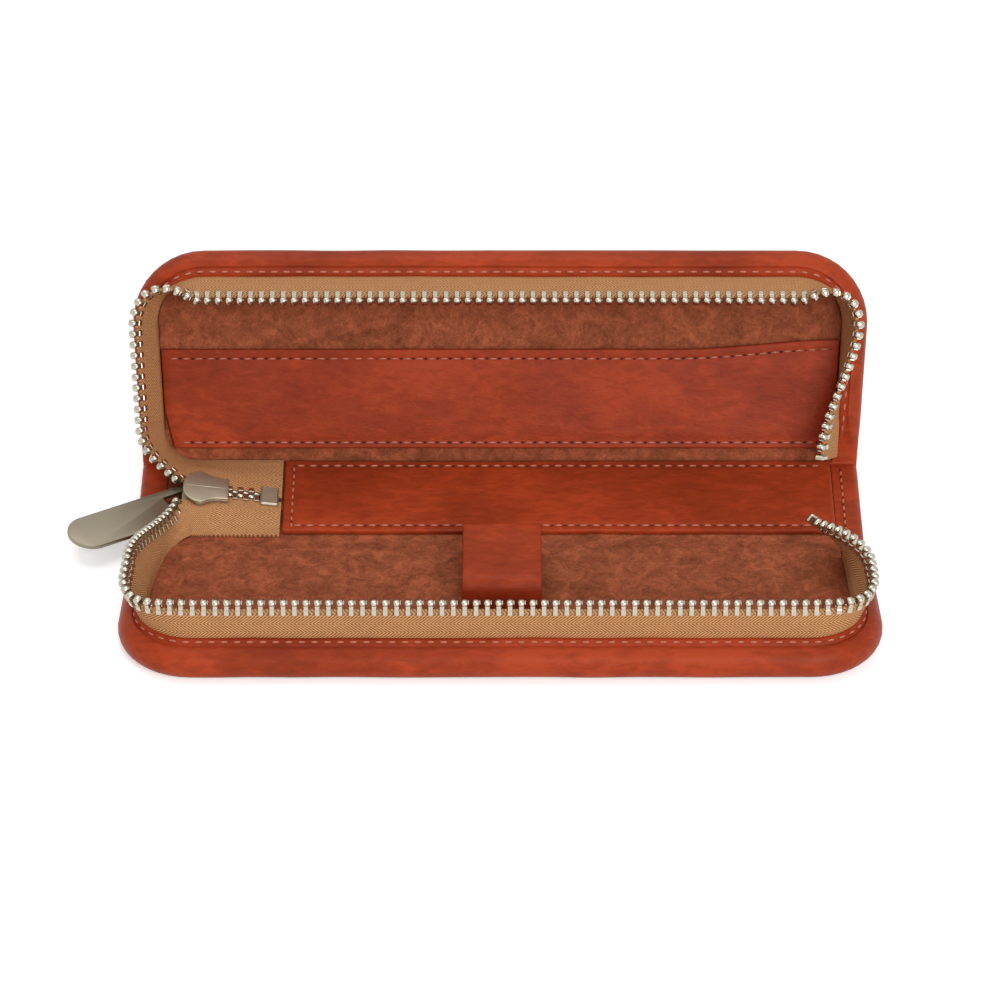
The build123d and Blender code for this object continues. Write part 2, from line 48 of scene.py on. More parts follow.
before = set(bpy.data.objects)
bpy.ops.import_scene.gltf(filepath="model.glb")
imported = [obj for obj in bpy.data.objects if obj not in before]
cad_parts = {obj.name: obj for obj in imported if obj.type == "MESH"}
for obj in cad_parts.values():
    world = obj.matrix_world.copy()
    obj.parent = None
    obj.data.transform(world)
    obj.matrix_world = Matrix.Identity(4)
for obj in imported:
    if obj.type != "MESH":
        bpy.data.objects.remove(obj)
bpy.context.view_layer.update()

# ---------------------------------------------------------------- sizes the CAD was made to
DEPTH = 52.0            # fold to outer front edge
CORNER = 17.0           # radius of the outer corners
SPINE_HALF = 84.75      # half the length beside a fold
CASE_HALF = 86.75       # half the length from the corners on
SPINE = 34.4            # fold to fold
FOLD_Y = 26.0           # the tray's fold
BEND = 2.6              # leather each side of a fold that bends
AXIS_HEIGHT = 0.6       # the folds turn about the middle of the leather
TILT = math.radians(63.7)           # of the lid against the spine
LEATHER = 1.2           # thickness of the cover and the loop
ROLL = 4.0              # radius of the padded edge
FLAT_EDGE = 1.3         # radius of the turned edge beside a fold
ROLL_START = 3.1        # the turned edge grows to the full roll between these depths
ROLL_FULL = 14.1
UNDERSIDE = 9.0         # the flat leather below ends at this inset
SUEDE = 1.0             # thickness of the lining
FLOOR = 3.2             # top of the lining in tray and lid
SPINE_FLOOR = 2.3       # top of the lining on the spine
LINING_INSET = 6.1      # outer edge to the lining's edge
SPINE_LINING_HALF = 78.5            # half the lining's length on the spine
TAPE = 0.7              # thickness of the zip tape
TAPE_FOOT = 2.0         # the standing tape starts behind the roll at this height
WALL_INSET = 5.6        # outer edge to the middle of the standing tape
SEAM = 7.7              # height at which a tape leaves the roll and leans
ZIP_HEIGHT = 17.8       # mesh line, up the tape
TOOTH_FOOT = 2.9        # tooth below the mesh line
IN_JAWS = 1.6           # tape between a tooth's legs
TAPE_TOP = ZIP_HEIGHT - TOOTH_FOOT + IN_JAWS
PITCH = 2.54            # tooth to tooth
LOOSE_END = 5.0         # depth of the tapes' loose right-hand ends
SLOPE = math.radians(7.0)           # the chain dips from the slider towards the strip
SLIDER = (-69.0, 41.4, 6.2)         # the slider's middle
NOSE = -6.0             # where the chains part, from the slider's middle
CLOSED_START = 6.9      # first closed tooth, from the slider's middle
CLOSED_PAIRS = 3
STOP_PLACE = 15.0       # middle of the bottom stop, from the slider's middle
STRIP = (-50.8, 78.2, 29.7, 58.7)   # left, right, front and back
STRIP_TOP = 3.55
STRIP_LEATHER = 1.25    # thickness
STRIP_SEAM = 2.1        # inset of the strip's seam
LOOP_BACK = FOLD_Y - 3.7            # outer back and front of the pen loop
LOOP_FRONT = FOLD_Y - 29.6
LOOP_LEFT = -8.55
LOOP_WIDTH = 18.0
LOOP_TOP = 12.35
LOOP_BEND = 3.4         # outer bend of its front and back
LOOP_TURN = 1.3         # and of its feet, turned in
POCKET_FOOT = 5.1       # depths of the pocket's foot and mouth
POCKET_MOUTH = 28.6
POCKET_TOP = 4.75       # the pocket's face, above the lid's underside
POCKET_LEATHER = 1.15   # thickness
POCKET_SEAMS = (26.4, 6.4)          # depths of the seams near its mouth and its foot
POCKET_INSET = 6.2      # outer edge to the pocket's ends
SPINE_SEAM_X = 80.6     # seam across the spine's turned right end
PULL_HEADING = 35.0     # degrees towards the tray
PULL_PITCH = 3.4        # degrees, tip raised
PULL_BANK = 7.0         # degrees, face turned towards the tray
PULL_REACH = 27.5       # bar to the middle of the round end
PULL_HALF = 5.5         # half its width
BAIL = (-3.1, -2.575)   # the bar's place from the slider's middle, along and up


def edge_x(depth):
    """Half the outer length of a half at a depth from its fold."""
    share = min(1.0, max(0.0, depth / (DEPTH - CORNER)))
    return SPINE_HALF + (CASE_HALF - SPINE_HALF) * share


def smooth(low, high, value):
    """0 below low, 1 above high and a smooth step between."""
    share = min(1.0, max(0.0, (value - low) / (high - low)))
    return share * share * (3 - 2 * share)


def point(x, y, z):
    """A place in metres from millimetres."""
    return Vector((x, y, z)) / 1000


def laid(x, s, n):
    """Where a point of the flat case comes to lie, with the lid folded up."""
    turn = TILT * smooth(-BEND, BEND, s - SPINE)
    away, up = s - SPINE, n - AXIS_HEIGHT
    y = FOLD_Y + SPINE + away * math.cos(turn) - up * math.sin(turn)
    z = AXIS_HEIGHT + away * math.sin(turn) + up * math.cos(turn)
    return point(x, y, z)


class Half:
    """Tray or lid: how a depth from its fold is placed, and how its tape leans.

    leans are the tape's degrees outwards at the front, the left, the right and its loose end.
    tape_start and tape_end are its distances from the folds along the rim, and upright is the
    depth on the right at which nearly half of the loose end's lean has gone.
    """

    def __init__(self, name, sign, leans, tape_start, tape_end, upright):
        self.name = name
        self.sign = sign
        self.lean_front, self.lean_left, self.lean_right, self.lean_end = leans
        self.tape_start = tape_start
        self.tape_end = tape_end
        self.upright = upright

    def at(self, x, depth, n):
        """A point of this half in metres."""
        return laid(x, -depth if self.sign < 0 else SPINE + depth, n)


TRAY = Half("tray", -1, leans=(-1.5, 22.0, 19.0, -52.0), tape_start=26.0, tape_end=6.2, upright=15.5)
LID = Half("lid", 1, leans=(-29.0, 27.0, 17.0, -25.0), tape_start=12.0, tape_end=3.4, upright=19.5)


class Rim:
    """The three-sided rim of a half, from fold to fold, at an inset from its outer edge."""

    def __init__(self, inset):
        self.inset = inset
        self.side = DEPTH - CORNER
        self.arc = (CORNER - inset) * math.pi / 2
        self.length = 2 * self.side + 2 * self.arc + 2 * (CASE_HALF - CORNER)

    def at(self, distance):
        """x, depth and the outward direction (x, depth) at a distance from the left end."""
        flip = distance > self.length / 2
        run = self.length - distance if flip else distance
        if run < self.side:
            found = [-(edge_x(run) - self.inset), run, -1.0, 0.0]
        elif run < self.side + self.arc:
            angle = (run - self.side) / (CORNER - self.inset)
            reach = CORNER - self.inset
            found = [CORNER - CASE_HALF - reach * math.cos(angle),
                     DEPTH - CORNER + reach * math.sin(angle), -math.cos(angle), math.sin(angle)]
        else:
            found = [CORNER - CASE_HALF + run - self.side - self.arc, DEPTH - self.inset, 0.0, 1.0]
        if flip:
            found[0], found[2] = -found[0], -found[2]
        return found


WALL = Rim(WALL_INSET)


def wall_lean(half, x, depth, out_x):
    """How far the standing tape leans outwards, in radians."""
    side = half.lean_right if x > 0 else half.lean_left
    lean = half.lean_front + (side - half.lean_front) * smooth(0, 1, abs(out_x)) ** 1.6
    if x > 0:
        reach = (half.upright - LOOSE_END) * 2.2
        lean += (half.lean_end - lean) * (1 - smooth(LOOSE_END, LOOSE_END + reach, depth))
    return math.radians(lean)


def wall_point(half, distance, rise):
    """A point of the standing tape: distance along its foot and rise up the tape."""
    x, depth, out_x, out_d = WALL.at(distance)
    angle = wall_lean(half, x, depth, out_x)
    above = max(0.0, rise - SEAM)
    out = above * math.sin(angle)
    return half.at(x + out_x * out, depth + out_d * out, min(rise, SEAM) + above * math.cos(angle))


# ---------------------------------------------------------------- modelling helpers
def only(piece):
    """Selects one piece and makes it active."""
    bpy.ops.object.select_all(action="DESELECT")
    piece.select_set(True)
    bpy.context.view_layer.objects.active = piece


def name_piece(name):
    """Names the object just added, and its data."""
    piece = bpy.context.object
    piece.name = name
    piece.data.name = name
    return piece


def shaped_grid(name, columns, rows, place):
    """A grid primitive whose points are carried to place(share along, share across)."""
    bpy.ops.object.select_all(action="DESELECT")
    bpy.ops.mesh.primitive_grid_add(x_subdivisions=columns, y_subdivisions=rows, size=1)
    piece = name_piece(name)
    for vertex in piece.data.vertices:
        vertex.co = place(vertex.co.x + 0.5, vertex.co.y + 0.5)
    return piece


def size_uvs(piece, length, width):
    """Scales a grid's UV map to millimetres along and across."""
    for corner in piece.data.uv_layers.active.data:
        corner.uv = (corner.uv[0] * length, corner.uv[1] * width)


def join(name, pieces, merge=0.0):
    """Joins pieces into the first and merges points that meet."""
    bpy.ops.object.select_all(action="DESELECT")
    for piece in pieces:
        piece.select_set(True)
    bpy.context.view_layer.objects.active = pieces[0]
    if len(pieces) > 1:
        bpy.ops.object.join()
    whole = name_piece(name)
    if merge:
        bpy.ops.object.mode_set(mode="EDIT")
        bpy.ops.mesh.select_all(action="SELECT")
        bpy.ops.mesh.remove_doubles(threshold=merge / 1000)
        bpy.ops.mesh.normals_make_consistent(inside=False)
        bpy.ops.object.mode_set(mode="OBJECT")
    return whole


def face(piece, direction):
    """Turns a sheet over unless its first face looks in a direction."""
    if piece.data.polygons[0].normal.dot(Vector(direction)) < 0:
        only(piece)
        bpy.ops.object.mode_set(mode="EDIT")
        bpy.ops.mesh.select_all(action="SELECT")
        bpy.ops.mesh.flip_normals()
        bpy.ops.object.mode_set(mode="OBJECT")


def modify(piece, kind, **settings):
    """Adds a modifier and applies it."""
    only(piece)
    modifier = piece.modifiers.new(kind.title(), kind)
    for key, value in settings.items():
        setattr(modifier, key, value)
    bpy.ops.object.modifier_apply(modifier=modifier.name)


def thicken(piece, thickness, round_edge, offset=-1.0, rim=0, even=True):
    """Gives a sheet its thickness, all inwards at offset -1, and breaks its cut edges."""
    modify(piece, "SOLIDIFY", thickness=thickness / 1000, offset=offset, use_even_offset=even,
           material_offset_rim=rim)
    if round_edge:
        modify(piece, "BEVEL", width=round_edge / 1000, segments=2, limit_method="ANGLE",
               angle_limit=math.radians(50), material=-1)


def smooth_shading(piece, angle):
    """Smooth faces, with creases sharper than the angle kept."""
    only(piece)
    bpy.ops.object.shade_smooth_by_angle(angle=math.radians(angle))


def copies(name, model, places):
    """A run of a modelled shape: one copy at each place, joined, the model removed."""
    made = []
    for place in places:
        copy = model.copy()
        copy.data = model.data.copy()
        copy.data.transform(place)
        bpy.context.collection.objects.link(copy)
        made.append(copy)
    bpy.data.objects.remove(model)
    return join(name, made)


def upright_place(origin, along, up):
    """Matrix with x along a seam, z up and the origin in place."""
    x = along.normalized()
    z = (up - x * up.dot(x)).normalized()
    y = z.cross(x)
    return Matrix.Translation(origin) @ Matrix((x, y, z)).transposed().to_4x4()


def finished(piece, material, body=None, replaced=(), edge=None):
    """Dresses a piece, hides the CAD parts it replaces and lets it ride."""
    piece.data.materials.clear()
    piece.data.materials.append(material)
    if edge:
        piece.data.materials.append(edge)
    if replaced:
        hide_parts(*replaced)
    if body:
        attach(piece, body)
    return piece


# ---------------------------------------------------------------- materials
def hue(text):
    """Linear colour from an sRGB hex string."""
    parts = [int(text[i:i + 2], 16) / 255 for i in (1, 3, 5)]
    return tuple(p / 12.92 if p <= 0.04045 else ((p + 0.055) / 1.055) ** 2.4 for p in parts) + (1.0,)


def shade(colour, share):
    """A lighter or darker tone of a linear colour."""
    return tuple(min(1.0, c * share) for c in colour[:3]) + (1.0,)


def cells_of(size):
    """Scale of a pattern whose cells are a size in millimetres."""
    return 1000 / size


def feed(tree, target, inputs):
    """Sets a node's inputs: the output of another node is linked, anything else is a value."""
    for key, value in inputs.items():
        if isinstance(value, bpy.types.NodeSocket):
            tree.links.new(value, target.inputs[key])
        else:
            target.inputs[key].default_value = value


def node(tree, kind, inputs=None, settings=None, stops=()):
    """Adds a node with its inputs and settings; stops are a colour ramp's (place, colour)."""
    added = tree.nodes.new(kind)
    for key, value in (settings or {}).items():
        setattr(added, key, value)
    feed(tree, added, inputs or {})
    if stops:
        elements = added.color_ramp.elements
        while len(elements) < len(stops):
            elements.new(0.5)
        for element, (place, colour) in zip(elements, stops):
            element.position = place
            element.color = colour
    return added


def new_material(name):
    """A material with its node tree and its Principled shader."""
    made = bpy.data.materials.new(name)
    made.use_nodes = True
    return made, made.node_tree, made.node_tree.nodes["Principled BSDF"]


def once(name, make, *values):
    """The material of a name, made at its first use."""
    return bpy.data.materials.get(name) or make(name, *values)


def grain_leather(name, colour):
    """Aniline-dyed calf, polished: dye lies in clouds and streaks, with fine pores and a soft shine."""
    made, tree, shader = new_material(name)
    place = node(tree, "ShaderNodeTexCoord").outputs["Object"]
    drawn = node(tree, "ShaderNodeMapping", {
        "Vector": place, "Scale": (0.55, 1.3, 1.3), "Rotation": (0, 0, math.radians(24))})
    clouds = node(tree, "ShaderNodeTexNoise", {
        "Vector": place, "Scale": cells_of(35.7), "Detail": 4.0, "Roughness": 0.55})
    streaks = node(tree, "ShaderNodeTexNoise", {
        "Vector": drawn.outputs["Vector"], "Scale": cells_of(2.63), "Detail": 5.0,
        "Roughness": 0.62, "Distortion": 0.6})
    pores = node(tree, "ShaderNodeTexVoronoi", {
        "Vector": drawn.outputs["Vector"], "Scale": cells_of(0.667)})
    dye_depth = node(tree, "ShaderNodeMath", {
        0: streaks.outputs["Fac"], 1: 0.7, 2: clouds.outputs["Fac"]}, {"operation": "MULTIPLY_ADD"})
    tones = node(tree, "ShaderNodeValToRGB", {"Fac": dye_depth.outputs[0]}, stops=(
        (0.62, shade(colour, 0.72)), (0.85, colour), (1.0, shade(colour, 1.3))))
    pitted = node(tree, "ShaderNodeBump", {
        "Height": pores.outputs["Distance"], "Strength": 0.3, "Distance": 0.0001})
    creased = node(tree, "ShaderNodeBump", {
        "Height": streaks.outputs["Fac"], "Strength": 0.55, "Distance": 0.00016,
        "Normal": pitted.outputs["Normal"]})
    waved = node(tree, "ShaderNodeBump", {
        "Height": clouds.outputs["Fac"], "Strength": 0.25, "Distance": 0.0008,
        "Normal": creased.outputs["Normal"]})
    feed(tree, shader, {
        "Base Color": tones.outputs["Color"], "Roughness": 0.42, "Specular IOR Level": 0.11,
        "Normal": waved.outputs["Normal"]})
    return made


def cut_leather(name, colour):
    """Cut edge of the leather, left raw: pale fibres of the split, matt."""
    made, tree, shader = new_material(name)
    place = node(tree, "ShaderNodeTexCoord").outputs["Object"]
    fibres = node(tree, "ShaderNodeTexNoise", {
        "Vector": place, "Scale": cells_of(1.11), "Detail": 3.0})
    tones = node(tree, "ShaderNodeValToRGB", {"Fac": fibres.outputs["Fac"]}, stops=(
        (0.3, shade(colour, 0.6)), (0.7, colour)))
    raised = node(tree, "ShaderNodeBump", {
        "Height": fibres.outputs["Fac"], "Strength": 0.6, "Distance": 0.00012})
    feed(tree, shader, {
        "Base Color": tones.outputs["Color"], "Roughness": 0.85, "Normal": raised.outputs["Normal"]})
    return made


def suede_nap(name, colour):
    """Flesh side of calf, sanded: a matt nap, darker and lighter where its fibres lie differently."""
    made, tree, shader = new_material(name)
    place = node(tree, "ShaderNodeTexCoord").outputs["Object"]
    patches = node(tree, "ShaderNodeTexNoise", {
        "Vector": place, "Scale": cells_of(4.35), "Detail": 6.0, "Roughness": 0.7,
        "Distortion": 0.8})
    fibres = node(tree, "ShaderNodeTexNoise", {
        "Vector": place, "Scale": cells_of(0.91), "Detail": 3.0, "Roughness": 0.7,
        "Distortion": 1.2})
    lay = node(tree, "ShaderNodeMath", {
        0: fibres.outputs["Fac"], 1: 0.6, 2: patches.outputs["Fac"]}, {"operation": "MULTIPLY_ADD"})
    tones = node(tree, "ShaderNodeValToRGB", {"Fac": lay.outputs[0]}, stops=(
        (0.58, shade(colour, 0.6)), (0.8, colour), (0.98, shade(colour, 1.5))))
    uneven = node(tree, "ShaderNodeBump", {
        "Height": patches.outputs["Fac"], "Strength": 0.5, "Distance": 0.00035})
    brushed = node(tree, "ShaderNodeBump", {
        "Height": fibres.outputs["Fac"], "Strength": 0.7, "Distance": 0.00018,
        "Normal": uneven.outputs["Normal"]})
    feed(tree, shader, {
        "Base Color": tones.outputs["Color"], "Roughness": 0.95, "Specular IOR Level": 0.04,
        "Normal": brushed.outputs["Normal"]})
    return made


def herringbone_tape(name, colour):
    """Cotton zip tape, woven in a herringbone: ribs slant one way, then the other, in bands."""
    band = 2.3              # millimetres across one slanted band
    rib = 0.85              # along the tape, a little coarser than real so that it shows
    yarn = 0.6              # across the tape
    made, tree, shader = new_material(name)
    along_across = node(tree, "ShaderNodeSeparateXYZ", {
        "Vector": node(tree, "ShaderNodeUVMap").outputs["UV"]})
    along, across = along_across.outputs["X"], along_across.outputs["Y"]
    zigzag = node(tree, "ShaderNodeMath", {0: across, 1: band}, {"operation": "PINGPONG"})
    slanted = node(tree, "ShaderNodeMath", {0: zigzag.outputs[0], 1: 1.25, 2: along},
                   {"operation": "MULTIPLY_ADD"})
    rib_turns = node(tree, "ShaderNodeMath", {0: slanted.outputs[0], 1: 2 * math.pi / rib},
                     {"operation": "MULTIPLY"})
    ribs = node(tree, "ShaderNodeMath", {0: rib_turns.outputs[0]}, {"operation": "SINE"})
    yarn_turns = node(tree, "ShaderNodeMath", {0: across, 1: 2 * math.pi / yarn},
                      {"operation": "MULTIPLY"})
    yarns = node(tree, "ShaderNodeMath", {0: yarn_turns.outputs[0]}, {"operation": "SINE"})
    woven = node(tree, "ShaderNodeMath", {0: yarns.outputs[0], 1: 0.35, 2: ribs.outputs[0]},
                 {"operation": "MULTIPLY_ADD"})
    height = node(tree, "ShaderNodeMapRange", {
        "Value": woven.outputs[0], "From Min": -1.35, "From Max": 1.35})
    fuzz = node(tree, "ShaderNodeTexNoise", {
        "Vector": node(tree, "ShaderNodeTexCoord").outputs["Object"], "Scale": cells_of(1.43),
        "Detail": 3.0})
    # tone from a random fuzz and the weave's height: painted shade in the low grooves and painted light
    # on the raised ribs
    fuzz_and_groove_shade = node(tree, "ShaderNodeMath", {0: fuzz.outputs["Fac"], 1: 0.25, 2: height.outputs[0]},
                {"operation": "MULTIPLY_ADD"})
    tones = node(tree, "ShaderNodeValToRGB", {"Fac": fuzz_and_groove_shade.outputs[0]}, stops=(
        (0.25, shade(colour, 0.42)), (0.9, shade(colour, 1.3))))
    raised = node(tree, "ShaderNodeBump", {
        "Height": height.outputs[0], "Strength": 0.55, "Distance": 0.00022})
    feed(tree, shader, {
        "Base Color": tones.outputs["Color"], "Roughness": 0.82, "Specular IOR Level": 0.1,
        "Normal": raised.outputs["Normal"]})
    return made


def satin_nickel(name, colour, roughness, brushed=0.0):
    """Nickel plate over brass or zinc: warm grey, tumbled or brushed to a soft shine."""
    made, tree, shader = new_material(name)
    place = node(tree, "ShaderNodeTexCoord").outputs["Object"]
    drawn = node(tree, "ShaderNodeMapping", {
        "Vector": place, "Scale": (0.12, 1.0, 1.0) if brushed else (1.0, 1.0, 1.0),
        "Rotation": (0, 0, math.radians(-PULL_HEADING) if brushed else 0.0)})
    scratches = node(tree, "ShaderNodeTexNoise", {
        "Vector": drawn.outputs["Vector"], "Scale": cells_of(0.385), "Detail": 3.0})
    shine = node(tree, "ShaderNodeMapRange", {
        "Value": scratches.outputs["Fac"], "To Min": roughness - 0.06, "To Max": roughness + 0.1})
    marked = node(tree, "ShaderNodeBump", {
        "Height": scratches.outputs["Fac"], "Strength": 0.12 + brushed, "Distance": 0.00003})
    feed(tree, shader, {
        "Base Color": colour, "Metallic": 1.0, "Roughness": shine.outputs[0],
        "Normal": marked.outputs["Normal"]})
    return made


def plain_fibre(name, colour, size, roughness=0.9):
    """Matt stuff such as sewing thread, board or foam: two close colours and a fine tooth."""
    made, tree, shader = new_material(name)
    place = node(tree, "ShaderNodeTexCoord").outputs["Object"]
    fibres = node(tree, "ShaderNodeTexNoise", {
        "Vector": place, "Scale": cells_of(size), "Detail": 2.0})
    tones = node(tree, "ShaderNodeValToRGB", {"Fac": fibres.outputs["Fac"]}, stops=(
        (0.35, shade(colour, 0.75)), (0.65, colour)))
    raised = node(tree, "ShaderNodeBump", {
        "Height": fibres.outputs["Fac"], "Strength": 0.5, "Distance": 0.00008})
    feed(tree, shader, {
        "Base Color": tones.outputs["Color"], "Roughness": roughness,
        "Normal": raised.outputs["Normal"]})
    return made


def seen_directly(tree):
    """1 for rays from the camera and those mirrored or let through, else 0."""
    path = node(tree, "ShaderNodeLightPath").outputs
    first = node(tree, "ShaderNodeMath", {0: path["Is Camera Ray"], 1: path["Is Glossy Ray"]},
                 {"operation": "MAXIMUM"})
    return node(tree, "ShaderNodeMath", {0: first.outputs[0], 1: path["Is Transmission Ray"]},
                {"operation": "MAXIMUM"}).outputs[0]


def white_table(name):
    """White laminate that glows a little to the eye alone, so that it looks white with real shadows."""
    made, tree, shader = new_material(name)
    feed(tree, shader, {"Base Color": hue("#F4F4F4"), "Roughness": 0.9})
    glow = node(tree, "ShaderNodeMath", {0: seen_directly(tree), 1: 0.45}, {"operation": "MULTIPLY"})
    light = node(tree, "ShaderNodeEmission", {"Color": (1, 1, 1, 1), "Strength": glow.outputs[0]})
    both = node(tree, "ShaderNodeAddShader", {0: shader.outputs[0], 1: light.outputs[0]})
    feed(tree, tree.nodes["Material Output"], {"Surface": both.outputs[0]})
    return made


# ---------------------------------------------------------------- what a user can change
def colour_property(name, description, default):
    """A colour in the sidebar, set from an sRGB hex string."""
    return bpy.props.FloatVectorProperty(name=name, description=description, subtype="COLOR",
                                         size=4, min=0, max=1, default=hue(default))


class PENCASE_colours(bpy.types.PropertyGroup):
    """Colours of the case's materials"""

    leather: colour_property("Leather", "Outer leather, grain side", "#98381B")
    edge: colour_property("Cut edge", "Cut edges of the leather", "#CC9068")
    suede: colour_property("Suede", "Lining, flesh side out", "#935035")
    tape: colour_property("Zip tape", "Woven cotton tape", "#BE895C")
    thread: colour_property("Thread", "Sewing thread", "#C4745A")
    teeth: colour_property("Teeth", "Metal teeth and stops", "#BAB4A4")
    slider: colour_property("Slider", "Slider and pull tab", "#B9AE98")


class PENCASE_sizes(bpy.types.PropertyGroup):
    """Sizes of the details that only the looks have"""

    stitch_pitch: bpy.props.FloatProperty(
        name="Stitch pitch", description="From one stitch to the next", default=0.0029,
        min=0.002, max=0.006, unit="LENGTH")
    stitch_length: bpy.props.FloatProperty(
        name="Stitch length", description="Thread seen between two holes", default=0.0017,
        min=0.001, max=0.005, unit="LENGTH")
    thread_width: bpy.props.FloatProperty(
        name="Thread width", description="Thickness of the sewing thread", default=0.00055,
        min=0.0003, max=0.001, unit="LENGTH")
    unevenness: bpy.props.FloatProperty(
        name="Unevenness", description="Height of the soft waves in the leather",
        default=0.00018, min=0.0, max=0.001, unit="LENGTH")


# ---------------------------------------------------------------- leather and lining
# depths of the rows along a side, close together where the leather bends and the roll grows
FOLD_ROWS = [-17.2, -14, -11, -8.5, -6.5, -5, -4, -3.2, -2.4, -1.6, -0.8, 0, 0.8, 1.6, 2.4, 3.2,
             4, 5, 6.5, 8, 9.5, 11, 12.5, 14.2, 17, 20, 23, 26, 29, 32]
FRONT_COLUMNS = 56
CORNER_STEPS = 10
ROLL_STEPS = 12
# flange sewn to the tape past the roll's last point: share of its depth, and rise
FLANGE = ((0.45, -0.3), (0.75, -0.15), (0.95, 0.3), (1.0, 0.75), (1.0, 1.25))
FLANGE_AT_FOLD = 4.9    # how far the turned leather reaches in beside a fold
FLANGE_NARROW = 14.0    # depth at which it has narrowed to the seam's own width


def wave(x, depth, seed):
    """A soft unevenness in millimetres."""
    size = bpy.context.scene.pencase_sizes.unevenness * 1000
    return size * noise.noise(Vector((x / 17, depth / 17, seed)))


def rim_stations(inset):
    """x, depth and outward direction along the left side and round the left corner."""
    found = [(-(edge_x(depth) - inset), depth, -1.0, 0.0) for depth in FOLD_ROWS]
    reach = CORNER - inset
    for step in range(CORNER_STEPS + 1):
        angle = math.pi / 2 * step / CORNER_STEPS
        found.append((CORNER - CASE_HALF - reach * math.cos(angle),
                      DEPTH - CORNER + reach * math.sin(angle), -math.cos(angle), math.sin(angle)))
    return found


def roll_section(half, x, depth, out_x):
    """Inset and height of the leather: under the case, round its edge, then sewn to the tape.

    Beside a fold the roll gives way to a flat turned edge.
    """
    grown = smooth(ROLL_START, ROLL_FULL, depth)
    radius = FLAT_EDGE + (ROLL - FLAT_EDGE) * grown
    tail = FLANGE_AT_FOLD * (1 - smooth(0.0, FLANGE_NARROW, depth))
    section = [(UNDERSIDE, 0.0), ((UNDERSIDE + radius) / 2, 0.0)]
    for step in range(ROLL_STEPS + 1):
        angle = -math.pi / 2 + (math.pi - 0.18 * grown) * step / ROLL_STEPS
        section.append((radius - radius * math.cos(angle), radius + radius * math.sin(angle)))
    inset, height = section[-1]
    lean = math.tan(wall_lean(half, x, depth, out_x)) * grown
    for along, up in FLANGE:
        section.append((inset + tail * along + grown * (along - max(0.0, up) * lean),
                        height + up * grown))
    return section


def outer_leather(half):
    """The leather under a half and half the spine, turned up round its edge."""
    left = rim_stations(UNDERSIDE)
    rows = len(left) - 1

    def base(u, v):
        x, depth, _, _ = left[round(v * rows)]
        return half.at(x * (1 - 2 * u), depth, 0.0)

    floor = shaped_grid("base", FRONT_COLUMNS, rows, base)
    across = [left[-1][0] * (1 - 2 * i / FRONT_COLUMNS) for i in range(1, FRONT_COLUMNS)]
    around = left + [(x, DEPTH - UNDERSIDE, 0.0, 1.0) for x in across]
    around += [(-x, depth, -out_x, out_d) for x, depth, out_x, out_d in reversed(left)]
    sections = [roll_section(half, x, depth, out_x) for x, depth, out_x, _ in around]
    count, points = len(around) - 1, len(sections[0]) - 1

    def turned(u, v):
        x, depth, out_x, out_d = around[round(u * count)]
        inset, height = sections[round(u * count)][round(v * points)]
        out = UNDERSIDE - inset + wave(x, depth, height / 9) * (height > 0.5)
        lift = wave(x * 1.3, depth, 5.0) * (height > 0.5)
        return half.at(x + out_x * out, depth + out_d * out, height + lift)

    edge = shaped_grid("turned", count, points, turned)
    piece = join(f"leather_{half.name}", [floor, edge], merge=0.02)
    face(piece, half.at(0, 20, -1) - half.at(0, 20, 0))
    thicken(piece, LEATHER, round_edge=0.25, even=False)
    smooth_shading(piece, 50)
    return piece


def lining_sheet(half):
    """Suede over a half and half the spine, split under the spine's strip."""
    left = rim_stations(LINING_INSET)
    rows = len(left) - 1

    def top(u, v):
        x, depth, _, _ = left[round(v * rows)]
        x = max(x, -SPINE_LINING_HALF) if depth < 3 else x
        x *= 1 - 2 * u
        height = SPINE_FLOOR + (FLOOR - SPINE_FLOOR) * smooth(-2.0, 4.0, depth)
        return half.at(x, depth, height + wave(x, depth, 9.0))

    piece = shaped_grid(f"suede_{half.name}", FRONT_COLUMNS, rows, top)
    face(piece, half.at(0, 20, 1) - half.at(0, 20, 0))
    thicken(piece, SUEDE, round_edge=0)
    smooth_shading(piece, 60)
    return piece


def bend_with(piece, half):
    """Bakes a sheet's placement into its mesh, the same for either half."""
    if half is TRAY:
        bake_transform(piece)
    else:
        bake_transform(piece)


def bend_corner(piece, half):
    """Bakes the placement of a piece of the left corner's zip into its mesh, the same for either half.
    """
    if half is TRAY:
        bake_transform(piece)
    else:
        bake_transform(piece)


# ---------------------------------------------------------------- zip tape and teeth
def at_slider(x, y, z):
    """A point in metres from the slider's own millimetres."""
    return point(SLIDER[0] + x * math.cos(SLOPE) + z * math.sin(SLOPE), SLIDER[1] + y,
                 SLIDER[2] - x * math.sin(SLOPE) + z * math.cos(SLOPE))


def curve_between(start, end, leave, arrive, tension):
    """A curve from start to end, with a direction at each, as a function of its share."""
    pull = tension * (end - start).length
    leave, arrive = leave.normalized() * pull, arrive.normalized() * pull

    def at(t):
        return (start * (2 * t ** 3 - 3 * t ** 2 + 1) + leave * (t ** 3 - 2 * t ** 2 + t)
                + end * (3 * t ** 2 - 2 * t ** 3) + arrive * (t ** 3 - t ** 2))

    return at


def tape_edge(half, x):
    """Free edge of the flat tape, on the spine's lining: the back tape reaches the lid's fold."""
    reach, above_lining = (12.7, 0.45) if half is TRAY else (17.4, 1.0)
    drop = (SPINE_FLOOR + above_lining - SLIDER[2] + x * math.sin(SLOPE)) / math.cos(SLOPE)
    return at_slider(x, half.sign * reach, drop)


# places along the flat tape, from under the strip to where it starts to twist
FLAT_TAPE = (17.9, 15, 12, 9.5, 6.9, 4.5, 1.6, 0.2, -1.2, -2.6)
TWIST_STEPS = 16
WIDTH_STEPS = 10


